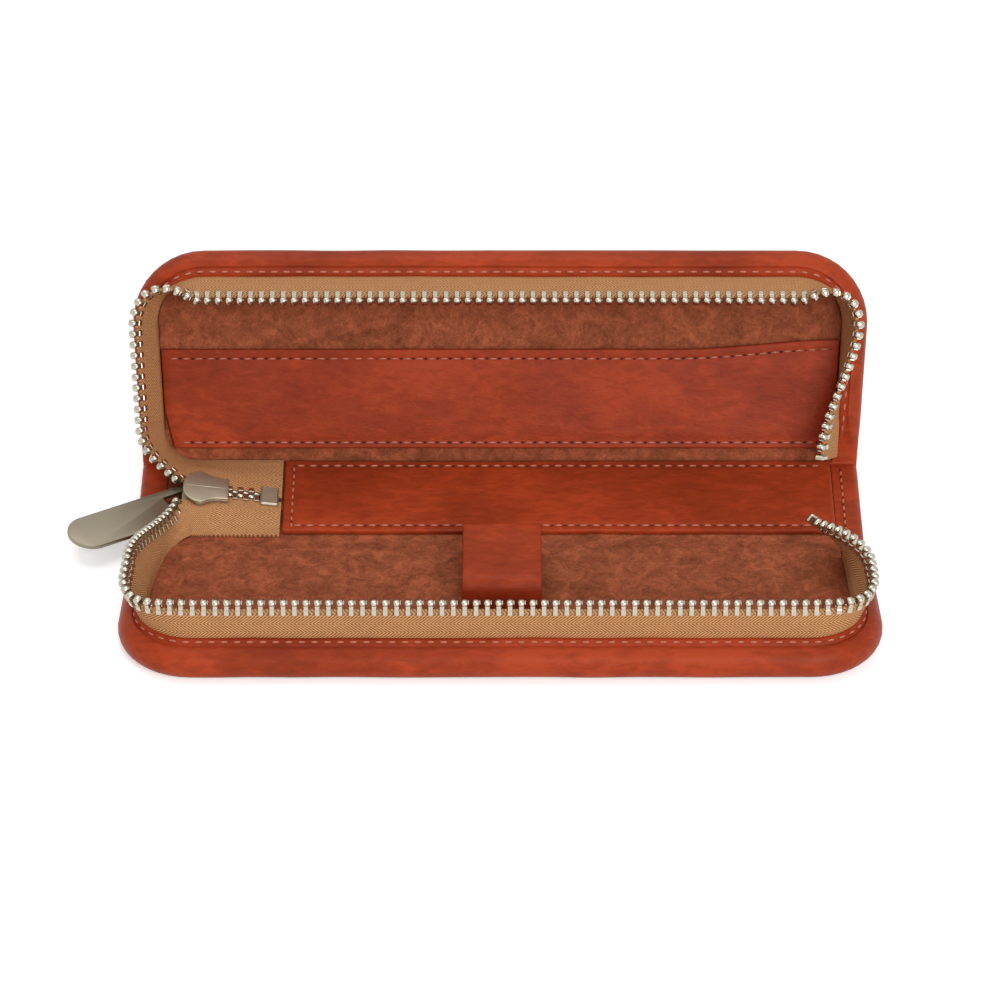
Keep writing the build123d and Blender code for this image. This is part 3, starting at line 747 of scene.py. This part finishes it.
def corner_curves(half):
    """Foot line and mesh line of the tape that twists from the slider up to the wall."""
    start = half.tape_start
    nose = at_slider(NOSE, half.sign * 2.7, 0.2)
    edge = tape_edge(half, FLAT_TAPE[-1])
    up = half.at(0, 21, 0) - half.at(0, 20, 0)
    if half is TRAY:
        mesh_leave, foot_leave, tension = Vector((-0.2, -1, -0.3)), Vector((-0.9, -0.5, 0)), 0.7
    else:
        mesh_leave, foot_leave, tension = Vector((-0.5, 0.85, 0)), Vector((-0.95, 0.1, 0.1)), 1.3
    foot = curve_between(edge, wall_point(half, start, TAPE_FOOT), foot_leave, up, tension)
    mesh = curve_between(nose, wall_point(half, start, ZIP_HEIGHT), mesh_leave, up, tension)
    return foot, mesh


def corner_tape(half):
    """Tape from the strip on the spine past the slider and up to the wall of a half."""
    foot, mesh = corner_curves(half)
    widths = [k / WIDTH_STEPS for k in range(WIDTH_STEPS + 1)]
    off_mesh = TOOTH_FOOT - IN_JAWS
    sections = []
    for x in FLAT_TAPE:
        edge = tape_edge(half, x)
        parted = 2.4 * (1 - smooth(-1.0, 5.7, x))
        inner = at_slider(x, half.sign * (off_mesh + parted), 0)
        section = []
        for width in widths:
            place = edge + (inner - edge) * width
            place.z = edge.z + (inner.z - edge.z) * smooth(0.0, 0.7, width)
            section.append(place)
        sections.append(section)
    standing = [wall_point(half, half.tape_start, TAPE_FOOT + (TAPE_TOP - TAPE_FOOT) * width)
                for width in widths]
    for step in range(TWIST_STEPS + 1):
        twisted = step / TWIST_STEPS
        low, high = foot(twisted), mesh(twisted)
        end = low + (high - low) * (1 - off_mesh / 1000 / (high - low).length)
        flat = max(0.0, 1 - twisted / 0.35) ** 2
        section = []
        for width, upright in zip(widths, standing):
            bulge = Vector((0, 0, math.sin(math.pi * width) * flat / 1000))
            kink = upright - standing[0].lerp(standing[-1], width)
            section.append(low + (end - low) * width + bulge + kink * smooth(0.2, 0.9, twisted))
        sections.append(section)
    count = len(sections) - 1
    piece = shaped_grid(f"corner_tape_{half.name}", count, WIDTH_STEPS,
                        lambda u, v: sections[round(u * count)][round(v * WIDTH_STEPS)])
    size_uvs(piece, 62.0, 15.2)
    thicken(piece, TAPE, offset=0.0, round_edge=0.12)
    smooth_shading(piece, 45)
    return piece


def wall_tape(half):
    """The standing tape of a half."""
    start, stop = half.tape_start, WALL.length - half.tape_end
    rises = [TAPE_FOOT, 4.0, 6.0, 7.0, SEAM, 8.5, 10, 11.5, 13, 14.5, TAPE_TOP]

    def place(u, v):
        return wall_point(half, start + (stop - start) * u, rises[round(v * WIDTH_STEPS)])

    piece = shaped_grid(f"tape_{half.name}", 150, WIDTH_STEPS, place)
    size_uvs(piece, stop - start, TAPE_TOP - TAPE_FOOT)
    thicken(piece, TAPE, offset=0.0, round_edge=0.12)
    smooth_shading(piece, 45)
    return piece


def block(name, size, centre, bevel=0.0):
    """A box in millimetres, its edges bevelled."""
    bpy.ops.object.select_all(action="DESELECT")
    bpy.ops.mesh.primitive_cube_add(size=1)
    piece = name_piece(name)
    for vertex in piece.data.vertices:
        vertex.co = point(*(c * s + m for c, s, m in zip(vertex.co, size, centre)))
    if bevel:
        modify(piece, "BEVEL", width=bevel / 1000, segments=1, limit_method="NONE")
    return piece


def zip_tooth():
    """One tooth: rounded head with a nib, a neck and two legs clenched on the tape."""
    head = block("head", (1.55, 1.2, 1.95), (0, 0.55, 0), 0.36)
    smooth_shading(head, 60)
    nib = block("nib", (0.5, 0.5, 0.9), (0.7, 0.6, 0))
    neck = block("neck", (0.95, 1.3, 1.6), (0, -0.6, 0))
    leg_out = block("leg", (1.3, 1.4, 0.6), (0, -1.75, 0.66), 0.13)
    leg_in = block("leg", (1.3, 1.4, 0.6), (0, -1.75, -0.66), 0.13)
    return join("tooth", [head, nib, neck, leg_out, leg_in])


def tooth_matrix(place, along, rise):
    """Place of a tooth: x along its chain and y up the tape, out over the mesh line."""
    x = along.normalized()
    z = x.cross(rise).normalized()
    return Matrix.Translation(place) @ Matrix((x, z.cross(x), z)).transposed().to_4x4()


def wall_teeth(half):
    """Teeth on the standing tape."""
    stop = WALL.length - half.tape_end

    def line(distance):
        return wall_point(half, distance, ZIP_HEIGHT)

    def up(distance):
        return line(distance) - wall_point(half, distance, ZIP_HEIGHT - 2)

    places = []
    at = half.tape_start + PITCH / 2
    while at < stop - PITCH:
        along = line(at + 0.3) - line(at - 0.3)
        places.append(tooth_matrix(line(at), along, up(at)))
        # a step along the tape's foot that is one pitch along the mesh line
        step = PITCH
        for _ in range(4):
            step *= PITCH / 1000 / (line(at + step) - line(at)).length
        at += step
    return copies(f"teeth_{half.name}", zip_tooth(), places)


def corner_teeth(half):
    """Teeth on the twisted tape, spaced back from the wall's first tooth."""
    foot, mesh = corner_curves(half)
    count = 400
    fine = [mesh(k / count) for k in range(count + 1)]
    runs = [0.0]
    for before, after in zip(fine, fine[1:]):
        runs.append(runs[-1] + (after - before).length * 1000)
    places = []
    nose_room = 0.6
    wanted = runs[-1] - PITCH / 2
    while wanted > nose_room:
        k = min(count - 1, max(1, sum(run < wanted for run in runs)))
        share = k / count
        places.append(tooth_matrix(fine[k], fine[k + 1] - fine[k - 1], mesh(share) - foot(share)))
        wanted -= PITCH
    return copies(f"corner_teeth_{half.name}", zip_tooth(), places)


def closed_teeth():
    """The pairs of teeth already closed below the slider."""
    places = []
    for pair in range(CLOSED_PAIRS):
        for shift, facing in ((0.0, 1), (-PITCH / 2, -1)):
            x = CLOSED_START + pair * PITCH + shift
            along = at_slider(x + 1, 0, 0) - at_slider(x, 0, 0)
            places.append(tooth_matrix(at_slider(x, 0, 0), along, Vector((0, facing, 0))))
    return copies("teeth_closed", zip_tooth(), places)


def metal_stop(name, size, matrix):
    """A stop, crimped from sheet metal with soft edges."""
    piece = block(name, size, (0, 0, 0), 0.35)
    piece.data.transform(matrix)
    smooth_shading(piece, 35)
    return piece


def top_stop(half):
    """The stop at the loose right-hand end of a half's chain."""
    at = WALL.length - half.tape_end - 0.9
    low, high = wall_point(half, at, ZIP_HEIGHT - 3), wall_point(half, at, ZIP_HEIGHT)
    along = wall_point(half, at + 0.3, ZIP_HEIGHT) - wall_point(half, at - 0.3, ZIP_HEIGHT)
    place = tooth_matrix(high - (high - low).normalized() * 0.0006, along, high - low)
    return metal_stop(f"top_stop_{half.name}", (1.3, 3.4, 2.2), place)


def bottom_stop():
    """The stop that holds both tapes together at the closed end of the chain."""
    place = Matrix.Translation(at_slider(STOP_PLACE, 0, 0)) @ Matrix.Rotation(SLOPE, 4, "Y")
    return metal_stop("bottom_stop_clip", (4.2, 7.0, 2.3), place)


# ---------------------------------------------------------------- slider and pull
# half outline of the slider's plates, from the nose where the chains part to its tail
SLIDER_SIDE = [(-5.35, 0.9), (-5.2, 2.1), (-4.8, 3.4), (-4.1, 4.6), (-3.2, 5.5), (-2.2, 6.1),
               (-1.3, 6.25), (-0.5, 6.0), (0.3, 5.35), (1.1, 4.75), (2.0, 4.35), (3.2, 4.15),
               (4.6, 4.1), (5.35, 4.1)]


def plate(name, outline, low, high, bevel, segments):
    """A flat plate with an outline in millimetres, between two heights."""
    bpy.ops.object.select_all(action="DESELECT")
    bpy.ops.mesh.primitive_circle_add(vertices=len(outline), radius=1, fill_type="NGON")
    piece = name_piece(name)
    for vertex, (x, y) in zip(piece.data.vertices, outline):
        vertex.co = point(x, y, low)
    face(piece, (0, 0, 1))
    modify(piece, "SOLIDIFY", thickness=(high - low) / 1000, offset=1.0)
    modify(piece, "BEVEL", width=bevel / 1000, segments=segments, limit_method="ANGLE",
           angle_limit=math.radians(50))
    return piece


def slider_body():
    """Slider seen from its plain side: two plates, side walls, a post and the bail below."""
    outline = SLIDER_SIDE + [(x, -y) for x, y in reversed(SLIDER_SIDE)]
    parts = []
    for low, high in ((1.1, 1.75), (-1.75, -1.1)):
        parts.append(plate("plate", outline, low, high, 0.24, 3))
    parts.append(block("crease", (9.6, 0.5, 0.2), (0, 0.2, 1.72), 0.08))
    for side in (-1, 1):
        wall = [(x, side * y) for x, y in SLIDER_SIDE if x > -3]
        inside = [(x, side * (abs(y) - 0.8)) for x, y in reversed(wall)]
        for low, high in ((0.45, 1.2), (-1.2, -0.45)):
            parts.append(plate("flange", wall + inside, low, high, 0.08, 1))
    post = [(-4.7, 1.5), (-4.1, 2.2), (-1.0, 0.0), (-4.1, -2.2), (-4.7, -1.5)]
    parts.append(plate("post", post, -1.2, 1.2, 0.1, 1))
    for x in (-4.725, -1.475):
        parts.append(block("bail_leg", (0.35, 1.3, 1.9), (x, 0, -2.5), 0.1))
    parts.append(block("bail_bar", (3.6, 1.3, 0.35), (BAIL[0], 0, -3.275), 0.1))
    piece = join("slider", parts)
    piece.data.transform(Matrix.Translation(at_slider(0, 0, 0)) @ Matrix.Rotation(SLOPE, 4, "Y"))
    smooth_shading(piece, 40)
    return piece


def pull_matrix():
    """Place of the pull tab: x along it, z out of its face."""
    heading, pitch, bank = (math.radians(a) for a in (PULL_HEADING, PULL_PITCH, PULL_BANK))
    along = Vector((-math.cos(pitch) * math.cos(heading), -math.cos(pitch) * math.sin(heading),
                    math.sin(pitch)))
    level = Vector((math.sin(heading), -math.cos(heading), 0))
    up = (along.cross(level) * math.cos(bank) + level * math.sin(bank)).normalized()
    return (Matrix.Translation(at_slider(BAIL[0], 0, BAIL[1]))
            @ Matrix((along, up.cross(along), up)).transposed().to_4x4())


def pull_tab():
    """Bare pull tab: fork, softened edges and a round far end."""
    shoulder = [(-0.8, 3.3), (-0.8, 4.2), (-0.3, 5.1), (0.7, PULL_HALF)]
    round_end = [(PULL_REACH + PULL_HALF * math.sin(k * math.pi / 20),
                  PULL_HALF * math.cos(k * math.pi / 20)) for k in range(21)]
    outline = shoulder + round_end + [(x, -y) for x, y in reversed(shoulder)]
    slot = [(5.2 + 0.8 * math.sin(a), -2.5 - 0.8 * math.cos(a)) for a in (0.0, 0.5, 1.07, 1.57)]
    outline += slot + [(x, -y) for x, y in reversed(slot)]
    piece = plate("pull", outline, -0.55, 0.55, 0.22, 3)
    piece.data.transform(pull_matrix())
    smooth_shading(piece, 40)
    return piece


def pull_pin():
    """The pin across the fork that hangs in the slider's bail."""
    rods = []
    for name, sides, radius, length in (("bar", 24, 0.425, 6.52), ("stub", 16, 0.25, 8.52)):
        bpy.ops.object.select_all(action="DESELECT")
        bpy.ops.mesh.primitive_cylinder_add(vertices=sides, radius=radius / 1000,
                                            depth=length / 1000)
        rods.append(name_piece(name))
    piece = join("pull_bar", rods)
    piece.data.transform(pull_matrix() @ Matrix.Rotation(math.pi / 2, 4, "X"))
    smooth_shading(piece, 40)
    return piece


# ---------------------------------------------------------------- loop, pocket and strip
def pen_loop():
    """A wide band of leather over the tray, both ends turned in and sewn down."""
    low, top, back, front = FLOOR + 0.05, LOOP_TOP, LOOP_BACK, LOOP_FRONT
    turn, bend = LOOP_TURN, LOOP_BEND
    path = [(back - 5.2, low), (back - 3.0, low)]
    for centre_y, centre_z, radius, begin in (
            (back - turn, low + turn, turn, -90), (back - bend, top - bend, bend, 0),
            (front + bend, top - bend, bend, 90), (front + turn, low + turn, turn, 180)):
        for step in range(9):
            angle = math.radians(begin + 90 * step / 8)
            path.append((centre_y + radius * math.cos(angle), centre_z + radius * math.sin(angle)))
        if begin == 0:
            path += [(back - bend - 3.8 * k, top) for k in range(1, 5)]
    path += [(front + 3.0, low), (front + 5.2, low)]
    count = len(path) - 1

    def place(u, v):
        y, z = path[round(v * count)]
        x = LOOP_LEFT + LOOP_WIDTH * u
        sag = -0.25 * math.exp(-((y - 9.0) / 6.0) ** 2) if z > 12 else 0.0
        flare = 0.15 * math.sin(z / 12 * math.pi) * (2 * u - 1)
        return point(x + flare, y, z + sag + wave(x, y, 2.0) * (z > 5))

    piece = shaped_grid("loop_band", 12, count, place)
    face(piece, (0, 0, -1))
    thicken(piece, LEATHER, round_edge=0.25, rim=1)
    smooth_shading(piece, 50)
    return piece


def pocket_edge(depth):
    """Half the pocket's width at a depth from the lid's fold."""
    if depth >= ROLL_FULL:
        return edge_x(depth) - POCKET_INSET
    return edge_x(ROLL_FULL) - POCKET_INSET - 2.3 * max(0.0, 1 - (depth - POCKET_FOOT) / 9.0)


def pull_of_use(x, depth):
    """How far use has drawn the pocket's mouth up towards its right end."""
    return 2.3 * smooth(42, 80, x) * smooth(14, 27, depth)


def lid_pocket():
    """Pocket panel: sewn along its foot and ends, its mouth turned over."""
    depths = [POCKET_FOOT, 5.6, 6.4, 7.4, 9.2, 11.5, ROLL_FULL, 17, 20, 23, 25.2, 26.2, 26.8, 27.4,
              28.2, POCKET_MOUTH]
    rows = len(depths) - 1
    at_mouth, at_foot = POCKET_SEAMS

    def place(u, v):
        depth = depths[round(v * rows)]
        x = pocket_edge(depth) * (2 * u - 1)
        fold = 0.14 * smooth(25.6, 26.6, depth)
        foot_seam = 0.22 * math.exp(-((depth - at_foot) / 0.8) ** 2)
        mouth_seam = 0.2 * math.exp(-((depth - at_mouth) / 0.5) ** 2)
        height = POCKET_TOP + fold - foot_seam - mouth_seam + wave(x, depth, 4.0) * 1.4
        return LID.at(x, depth + pull_of_use(x, depth), height)

    piece = shaped_grid("pocket", 80, rows, place)
    face(piece, LID.at(0, 20, 1) - LID.at(0, 20, 0))
    thicken(piece, POCKET_LEATHER, round_edge=0.3, rim=1)
    smooth_shading(piece, 50)
    return piece


def spine_strip():
    """Strip over the zip's end and the spine's middle."""
    left, right, front, back = STRIP
    middle = FOLD_Y + SPINE / 2

    def place(u, v):
        x = left + (right - left) * u
        y = front + (back - front) * v
        near = min(x - left, right - x, y - front, back - y)
        groove = -0.22 * math.exp(-((near - STRIP_SEAM) / 0.6) ** 2)
        over_zip = 0.35 * math.exp(-((x - left) / 5.0) ** 2) * math.exp(-((y - middle) / 6.0) ** 2)
        return point(x, y, STRIP_TOP + groove + over_zip + wave(x, y, 6.0))

    piece = shaped_grid("strip_leather", 130, 40, place)
    face(piece, (0, 0, 1))
    thicken(piece, STRIP_LEATHER, round_edge=0.35, rim=1)
    pale_end = 0.45
    for polygon in piece.data.polygons:
        x = polygon.center.x * 1000
        if min(x - left, right - x) < pale_end:
            polygon.material_index = 1
    smooth_shading(piece, 50)
    return piece


# ---------------------------------------------------------------- sewing
def run_of(points, ups, pitch):
    """Places a pitch apart along a line of points: (place, direction, up)."""
    found = []
    carry = pitch / 2
    for index, (before, after) in enumerate(zip(points, points[1:])):
        span = (after - before).length
        while carry <= span:
            up = ups[index] if isinstance(ups, list) else ups
            found.append((before + (after - before) * (carry / span), after - before, up))
            carry += pitch
        carry -= span
    return found


def stitches_along(name, rows):
    """Threads lying in line along rows of (points, ups)."""
    sizes = bpy.context.scene.pencase_sizes
    bpy.ops.object.select_all(action="DESELECT")
    bpy.ops.mesh.primitive_uv_sphere_add(segments=8, ring_count=6, radius=0.5)
    stitch = name_piece("stitch")
    for vertex in stitch.data.vertices:
        round_end = 1.0 if abs(vertex.co.z) < 0.4 else 0.8
        vertex.co = (vertex.co.z * sizes.stitch_length,
                     vertex.co.y * sizes.thread_width * round_end,
                     vertex.co.x * sizes.thread_width * 0.9 + 0.00008)
    places = [upright_place(place, along, up) for points, ups in rows
              for place, along, up in run_of(points, ups, sizes.stitch_pitch)]
    thread = copies(f"thread_{name}", stitch, places)
    smooth_shading(thread, 80)
    return thread


def holes_along(name, rows):
    """Needle holes pulled open between the stitches of rows of (points, ups): flat near-black discs,
    painted shade inside the holes.
    """
    sizes = bpy.context.scene.pencase_sizes
    bpy.ops.object.select_all(action="DESELECT")
    bpy.ops.mesh.primitive_uv_sphere_add(segments=8, ring_count=4, radius=0.5)
    hole = name_piece("hole")
    for vertex in hole.data.vertices:
        vertex.co = point(vertex.co.x * 0.85, vertex.co.y * 0.6, vertex.co.z * 0.12 + 0.02)
    places = [upright_place(place + along.normalized() * sizes.stitch_pitch / 2, along, up)
              for points, ups in rows
              for place, along, up in run_of(points, ups, sizes.stitch_pitch)]
    return copies(f"needle_holes_{name}", hole, places)


def roll_row(half):
    """Places of the seam along a half's rolled edge, on the flange against the tape."""
    rim = Rim(0.0)
    points, ups = [], []
    distance, stop = 10.0, rim.length - 8.0
    while distance < stop:
        x, depth, out_x, out_d = rim.at(distance)
        (inset_low, height_low), (inset_high, height_high) = roll_section(half, x, depth, out_x)[-3::2]
        inset, height = (inset_low + inset_high) / 2, (height_low + height_high) / 2
        out, up = height_high - height_low, inset_high - inset_low
        place = half.at(x - out_x * inset, depth - out_d * inset, height)
        above = half.at(x - out_x * (inset - out), depth - out_d * (inset - out), height + up)
        points.append(place)
        ups.append(above - place)
        distance += 0.8
    return points, ups


def pocket_rows():
    """Seams near the pocket's mouth and foot."""
    up = LID.at(0, 20, 1) - LID.at(0, 20, 0)
    rows = []
    count = 60
    for depth, sunk in zip(POCKET_SEAMS, (0.03, 0.13)):
        half = pocket_edge(depth) - 1.6
        height = POCKET_TOP - sunk
        across = [-half + 2 * half * k / count for k in range(count + 1)]
        line = [LID.at(x, depth + pull_of_use(x, depth), height) for x in across]
        rows.append((line, up))
    return rows


def strip_rows():
    """The seam round the strip, open at its right end."""
    left, right, front, back = STRIP
    near, far = front + STRIP_SEAM, back - STRIP_SEAM
    start, stop = left + STRIP_SEAM, right - STRIP_SEAM
    height = STRIP_TOP - 0.13
    lines = (((start, near), (stop, near)), ((stop, far), (start, far)), ((start, far), (start, near)))
    return [([point(*begin, height), point(*end, height)], Vector((0, 0, 1)))
            for begin, end in lines]


def spine_end_row():
    """The seam across the spine's turned right end."""
    height = 2 * FLAT_EDGE + 0.02
    return [point(SPINE_SEAM_X, y, height) for y in range(30, 58)], Vector((0, 0, 1))


# ---------------------------------------------------------------- the add-on's pieces
def dye():
    """The colours that are set in the sidebar."""
    return bpy.context.scene.pencase_colours


def leather():
    """Aniline-dyed calf leather of the cover, loop, pocket and strip."""
    return once("aniline_calf_leather", grain_leather, tuple(dye().leather))


def edge_leather():
    """Cut edge of the same leather."""
    return once("cut_leather_edge", cut_leather, tuple(dye().edge))


def nickel():
    """Satin nickel on the teeth and stops."""
    return once("satin_nickel_teeth", satin_nickel, tuple(dye().teeth), 0.22)


def worn_nickel():
    """Nickel of the slider and the bottom stop, rubbed dull by use."""
    return once("satin_nickel_slider", satin_nickel, shade(tuple(dye().slider), 0.85), 0.48)


class PENCASE_OT_cover(bpy.types.Operator):
    """Makes the outer leather of the tray, the spine and the lid"""

    bl_idname = "pencase.cover"
    bl_label = "Outer leather"

    def execute(self, context):
        for half, nodes in ((TRAY, ("tray_cover", "spine_cover")), (LID, ("lid_cover",))):
            piece = finished(outer_leather(half), leather(), replaced=nodes)
            bend_with(piece, half)
        return {"FINISHED"}


class PENCASE_OT_lining(bpy.types.Operator):
    """Makes the suede inside the tray, the spine and the lid"""

    bl_idname = "pencase.lining"
    bl_label = "Suede lining"

    def execute(self, context):
        nap = once("calf_suede", suede_nap, tuple(dye().suede))
        for half, nodes in ((TRAY, ("tray_lining", "spine_lining")), (LID, ("lid_lining",))):
            piece = finished(lining_sheet(half), nap, replaced=nodes)
            bend_with(piece, half)
        return {"FINISHED"}


class PENCASE_OT_tape(bpy.types.Operator):
    """Makes the woven zip tape, on the walls and round the left corners"""

    bl_idname = "pencase.tape"
    bl_label = "Zip tape"

    def execute(self, context):
        weave = once("cotton_zip_tape", herringbone_tape, tuple(dye().tape))
        for half, flat in ((TRAY, "front"), (LID, "back")):
            finished(wall_tape(half), weave, half.name, (f"{half.name}_zip_tape",))
            piece = finished(corner_tape(half), weave,
                             replaced=(f"{half.name}_corner_tape", f"spine_tape_{flat}"))
            bend_corner(piece, half)
        return {"FINISHED"}


class PENCASE_OT_teeth(bpy.types.Operator):
    """Makes the metal teeth and the stops at the ends of the chain"""

    bl_idname = "pencase.teeth"
    bl_label = "Teeth and stops"

    def execute(self, context):
        for half in (TRAY, LID):
            finished(wall_teeth(half), nickel(), half.name,
                     (f"{half.name}_zip_teeth",))
            corner = finished(corner_teeth(half), nickel(),
                              replaced=(f"{half.name}_corner_teeth",))
            bend_corner(corner, half)
            finished(top_stop(half), nickel(), half.name, (f"{half.name}_top_stop",))
        finished(closed_teeth(), nickel(), "spine", ("spine_chain",))
        finished(bottom_stop(), worn_nickel(), "spine", ("bottom_stop",))
        return {"FINISHED"}


class PENCASE_OT_slider(bpy.types.Operator):
    """Makes the slider, its pin and the bare pull tab"""

    bl_idname = "pencase.slider"
    bl_label = "Slider and pull"

    def execute(self, context):
        metal = worn_nickel()
        # the pull tab is the slider's own nickel darkened to 0.56: painted shade for the darker
        # reflection the tab shows
        drawn = once("brushed_nickel_pull", satin_nickel, shade(tuple(dye().slider), 0.56), 0.4, 0.25)
        finished(slider_body(), metal, "slider", ("slider_body",))
        finished(pull_pin(), metal, "pin", ("pull_pin",))
        finished(pull_tab(), drawn, "pull", ("pull_tab",))
        return {"FINISHED"}


class PENCASE_OT_inside(bpy.types.Operator):
    """Makes the pen loop, the lid's pocket and the strip along the spine"""

    bl_idname = "pencase.inside"
    bl_label = "Loop, pocket and strip"

    def execute(self, context):
        for make, body in ((pen_loop, "tray"), (lid_pocket, "lid"), (spine_strip, "spine")):
            finished(make(), leather(), body, (make.__name__,), edge_leather())
        return {"FINISHED"}


class PENCASE_OT_sewing(bpy.types.Operator):
    """Sews the seams of the rolled edges, the pocket, the strip and the spine's right end"""

    bl_idname = "pencase.sewing"
    bl_label = "Stitching"

    def execute(self, context):
        thread = once("waxed_thread", plain_fibre, tuple(dye().thread), 0.556, 0.6)
        # needle holes: the leather colour at 0.12, painted shade for the inside of the holes
        hole_shade = once("needle_hole", plain_fibre, shade(tuple(dye().leather), 0.12), 1.11)
        for name, body, rows in (("tray_edge", "tray", [roll_row(TRAY)]),
                                 ("lid_edge", "lid", [roll_row(LID)]),
                                 ("pocket", "lid", pocket_rows()),
                                 ("strip", "spine", strip_rows() + [spine_end_row()])):
            finished(stitches_along(name, rows), thread, body)
            if body not in name:
                finished(holes_along(name, rows), hole_shade, body)
        return {"FINISHED"}


class PENCASE_OT_hidden(bpy.types.Operator):
    """Gives the boards and the foam cords inside the leather their materials"""

    bl_idname = "pencase.hidden"
    bl_label = "Boards and cords"

    def execute(self, context):
        board = once("grey_board", plain_fibre, hue("#8B8172"), 2.0)
        foam = once("edge_foam", plain_fibre, hue("#5A5048"), 1.43)
        for half in ("tray", "lid"):
            for name, made in ((f"{half}_board", board), (f"{half}_edge_cord", foam)):
                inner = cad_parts[name]
                inner.data.materials.clear()
                inner.data.materials.append(made)
        return {"FINISHED"}


def look_at(seer, target):
    """Turns a lamp or the camera towards a place in metres."""
    aim = Vector(target) - seer.location
    seer.rotation_euler = aim.to_track_quat("-Z", "Y").to_euler()


class PENCASE_OT_stage(bpy.types.Operator):
    """Makes a plain white table, soft lamps and the camera"""

    bl_idname = "pencase.stage"
    bl_label = "Table, lamps and camera"

    def execute(self, context):
        bpy.ops.object.select_all(action="DESELECT")
        bpy.ops.mesh.primitive_plane_add(size=6)
        floor = name_piece("table_top")
        floor.data.materials.append(white_table("white_table"))
        world = context.scene.world or bpy.data.worlds.new("room")
        context.scene.world = world
        world.use_nodes = True
        tree = world.node_tree
        tree.nodes.clear()
        room = node(tree, "ShaderNodeBackground", {"Color": (1, 1, 1, 1), "Strength": 0.42})
        blank = node(tree, "ShaderNodeBackground", {"Color": (1, 1, 1, 1), "Strength": 1.0})
        mixed = node(tree, "ShaderNodeMixShader", {
            0: seen_directly(tree), 1: room.outputs[0], 2: blank.outputs[0]})
        node(tree, "ShaderNodeOutputWorld", {"Surface": mixed.outputs[0]})
        for name, place, power in (("front_lamp", (0.5, -1.25, 0.8), 15.0),
                                   ("top_lamp", (-0.2, 0.3, 1.3), 6.0)):
            bpy.ops.object.light_add(type="AREA", location=place)
            lamp = name_piece(name)
            lamp.data.size = 0.9
            lamp.data.energy = power
            look_at(lamp, (0, 0.045, 0))
        bpy.ops.object.camera_add(location=(0, -1.0137, 0.7266))
        camera = name_piece("camera")
        look_at(camera, (0, 0.04736, 0))
        camera.data.lens = 196.3
        camera.data.sensor_width = 36
        context.scene.camera = camera
        context.scene.view_settings.view_transform = "Standard"
        return {"FINISHED"}


class PENCASE_PT_panel(bpy.types.Panel):
    """Lists the case's colours, sizes and pieces"""

    bl_idname = "PENCASE_PT_panel"
    bl_label = "Pen case"
    bl_space_type = "VIEW_3D"
    bl_region_type = "UI"
    bl_category = "Pen case"

    def draw(self, context):
        layout = self.layout
        for group in (context.scene.pencase_colours, context.scene.pencase_sizes):
            for key in group.__annotations__:
                layout.prop(group, key)
        for operator in OPERATORS:
            layout.operator(operator.bl_idname)


OPERATORS = (PENCASE_OT_cover, PENCASE_OT_lining, PENCASE_OT_tape, PENCASE_OT_teeth,
             PENCASE_OT_slider, PENCASE_OT_inside, PENCASE_OT_sewing, PENCASE_OT_hidden,
             PENCASE_OT_stage)
CLASSES = (PENCASE_colours, PENCASE_sizes) + OPERATORS + (PENCASE_PT_panel,)


def register():
    """Adds the classes and the two groups of settings."""
    for item in CLASSES:
        bpy.utils.register_class(item)
    bpy.types.Scene.pencase_colours = bpy.props.PointerProperty(type=PENCASE_colours)
    bpy.types.Scene.pencase_sizes = bpy.props.PointerProperty(type=PENCASE_sizes)


def unregister():
    """Takes them away again."""
    del bpy.types.Scene.pencase_sizes
    del bpy.types.Scene.pencase_colours
    for item in reversed(CLASSES):
        bpy.utils.unregister_class(item)


def main():
    """Builds the case piece by piece."""
    register()
    bpy.ops.pencase.cover()
    bpy.ops.pencase.lining()
    bpy.ops.pencase.tape()
    bpy.ops.pencase.teeth()
    bpy.ops.pencase.slider()
    bpy.ops.pencase.inside()
    bpy.ops.pencase.sewing()
    bpy.ops.pencase.hidden()
    bpy.ops.pencase.stage()


if __name__ == "__main__":
    main()
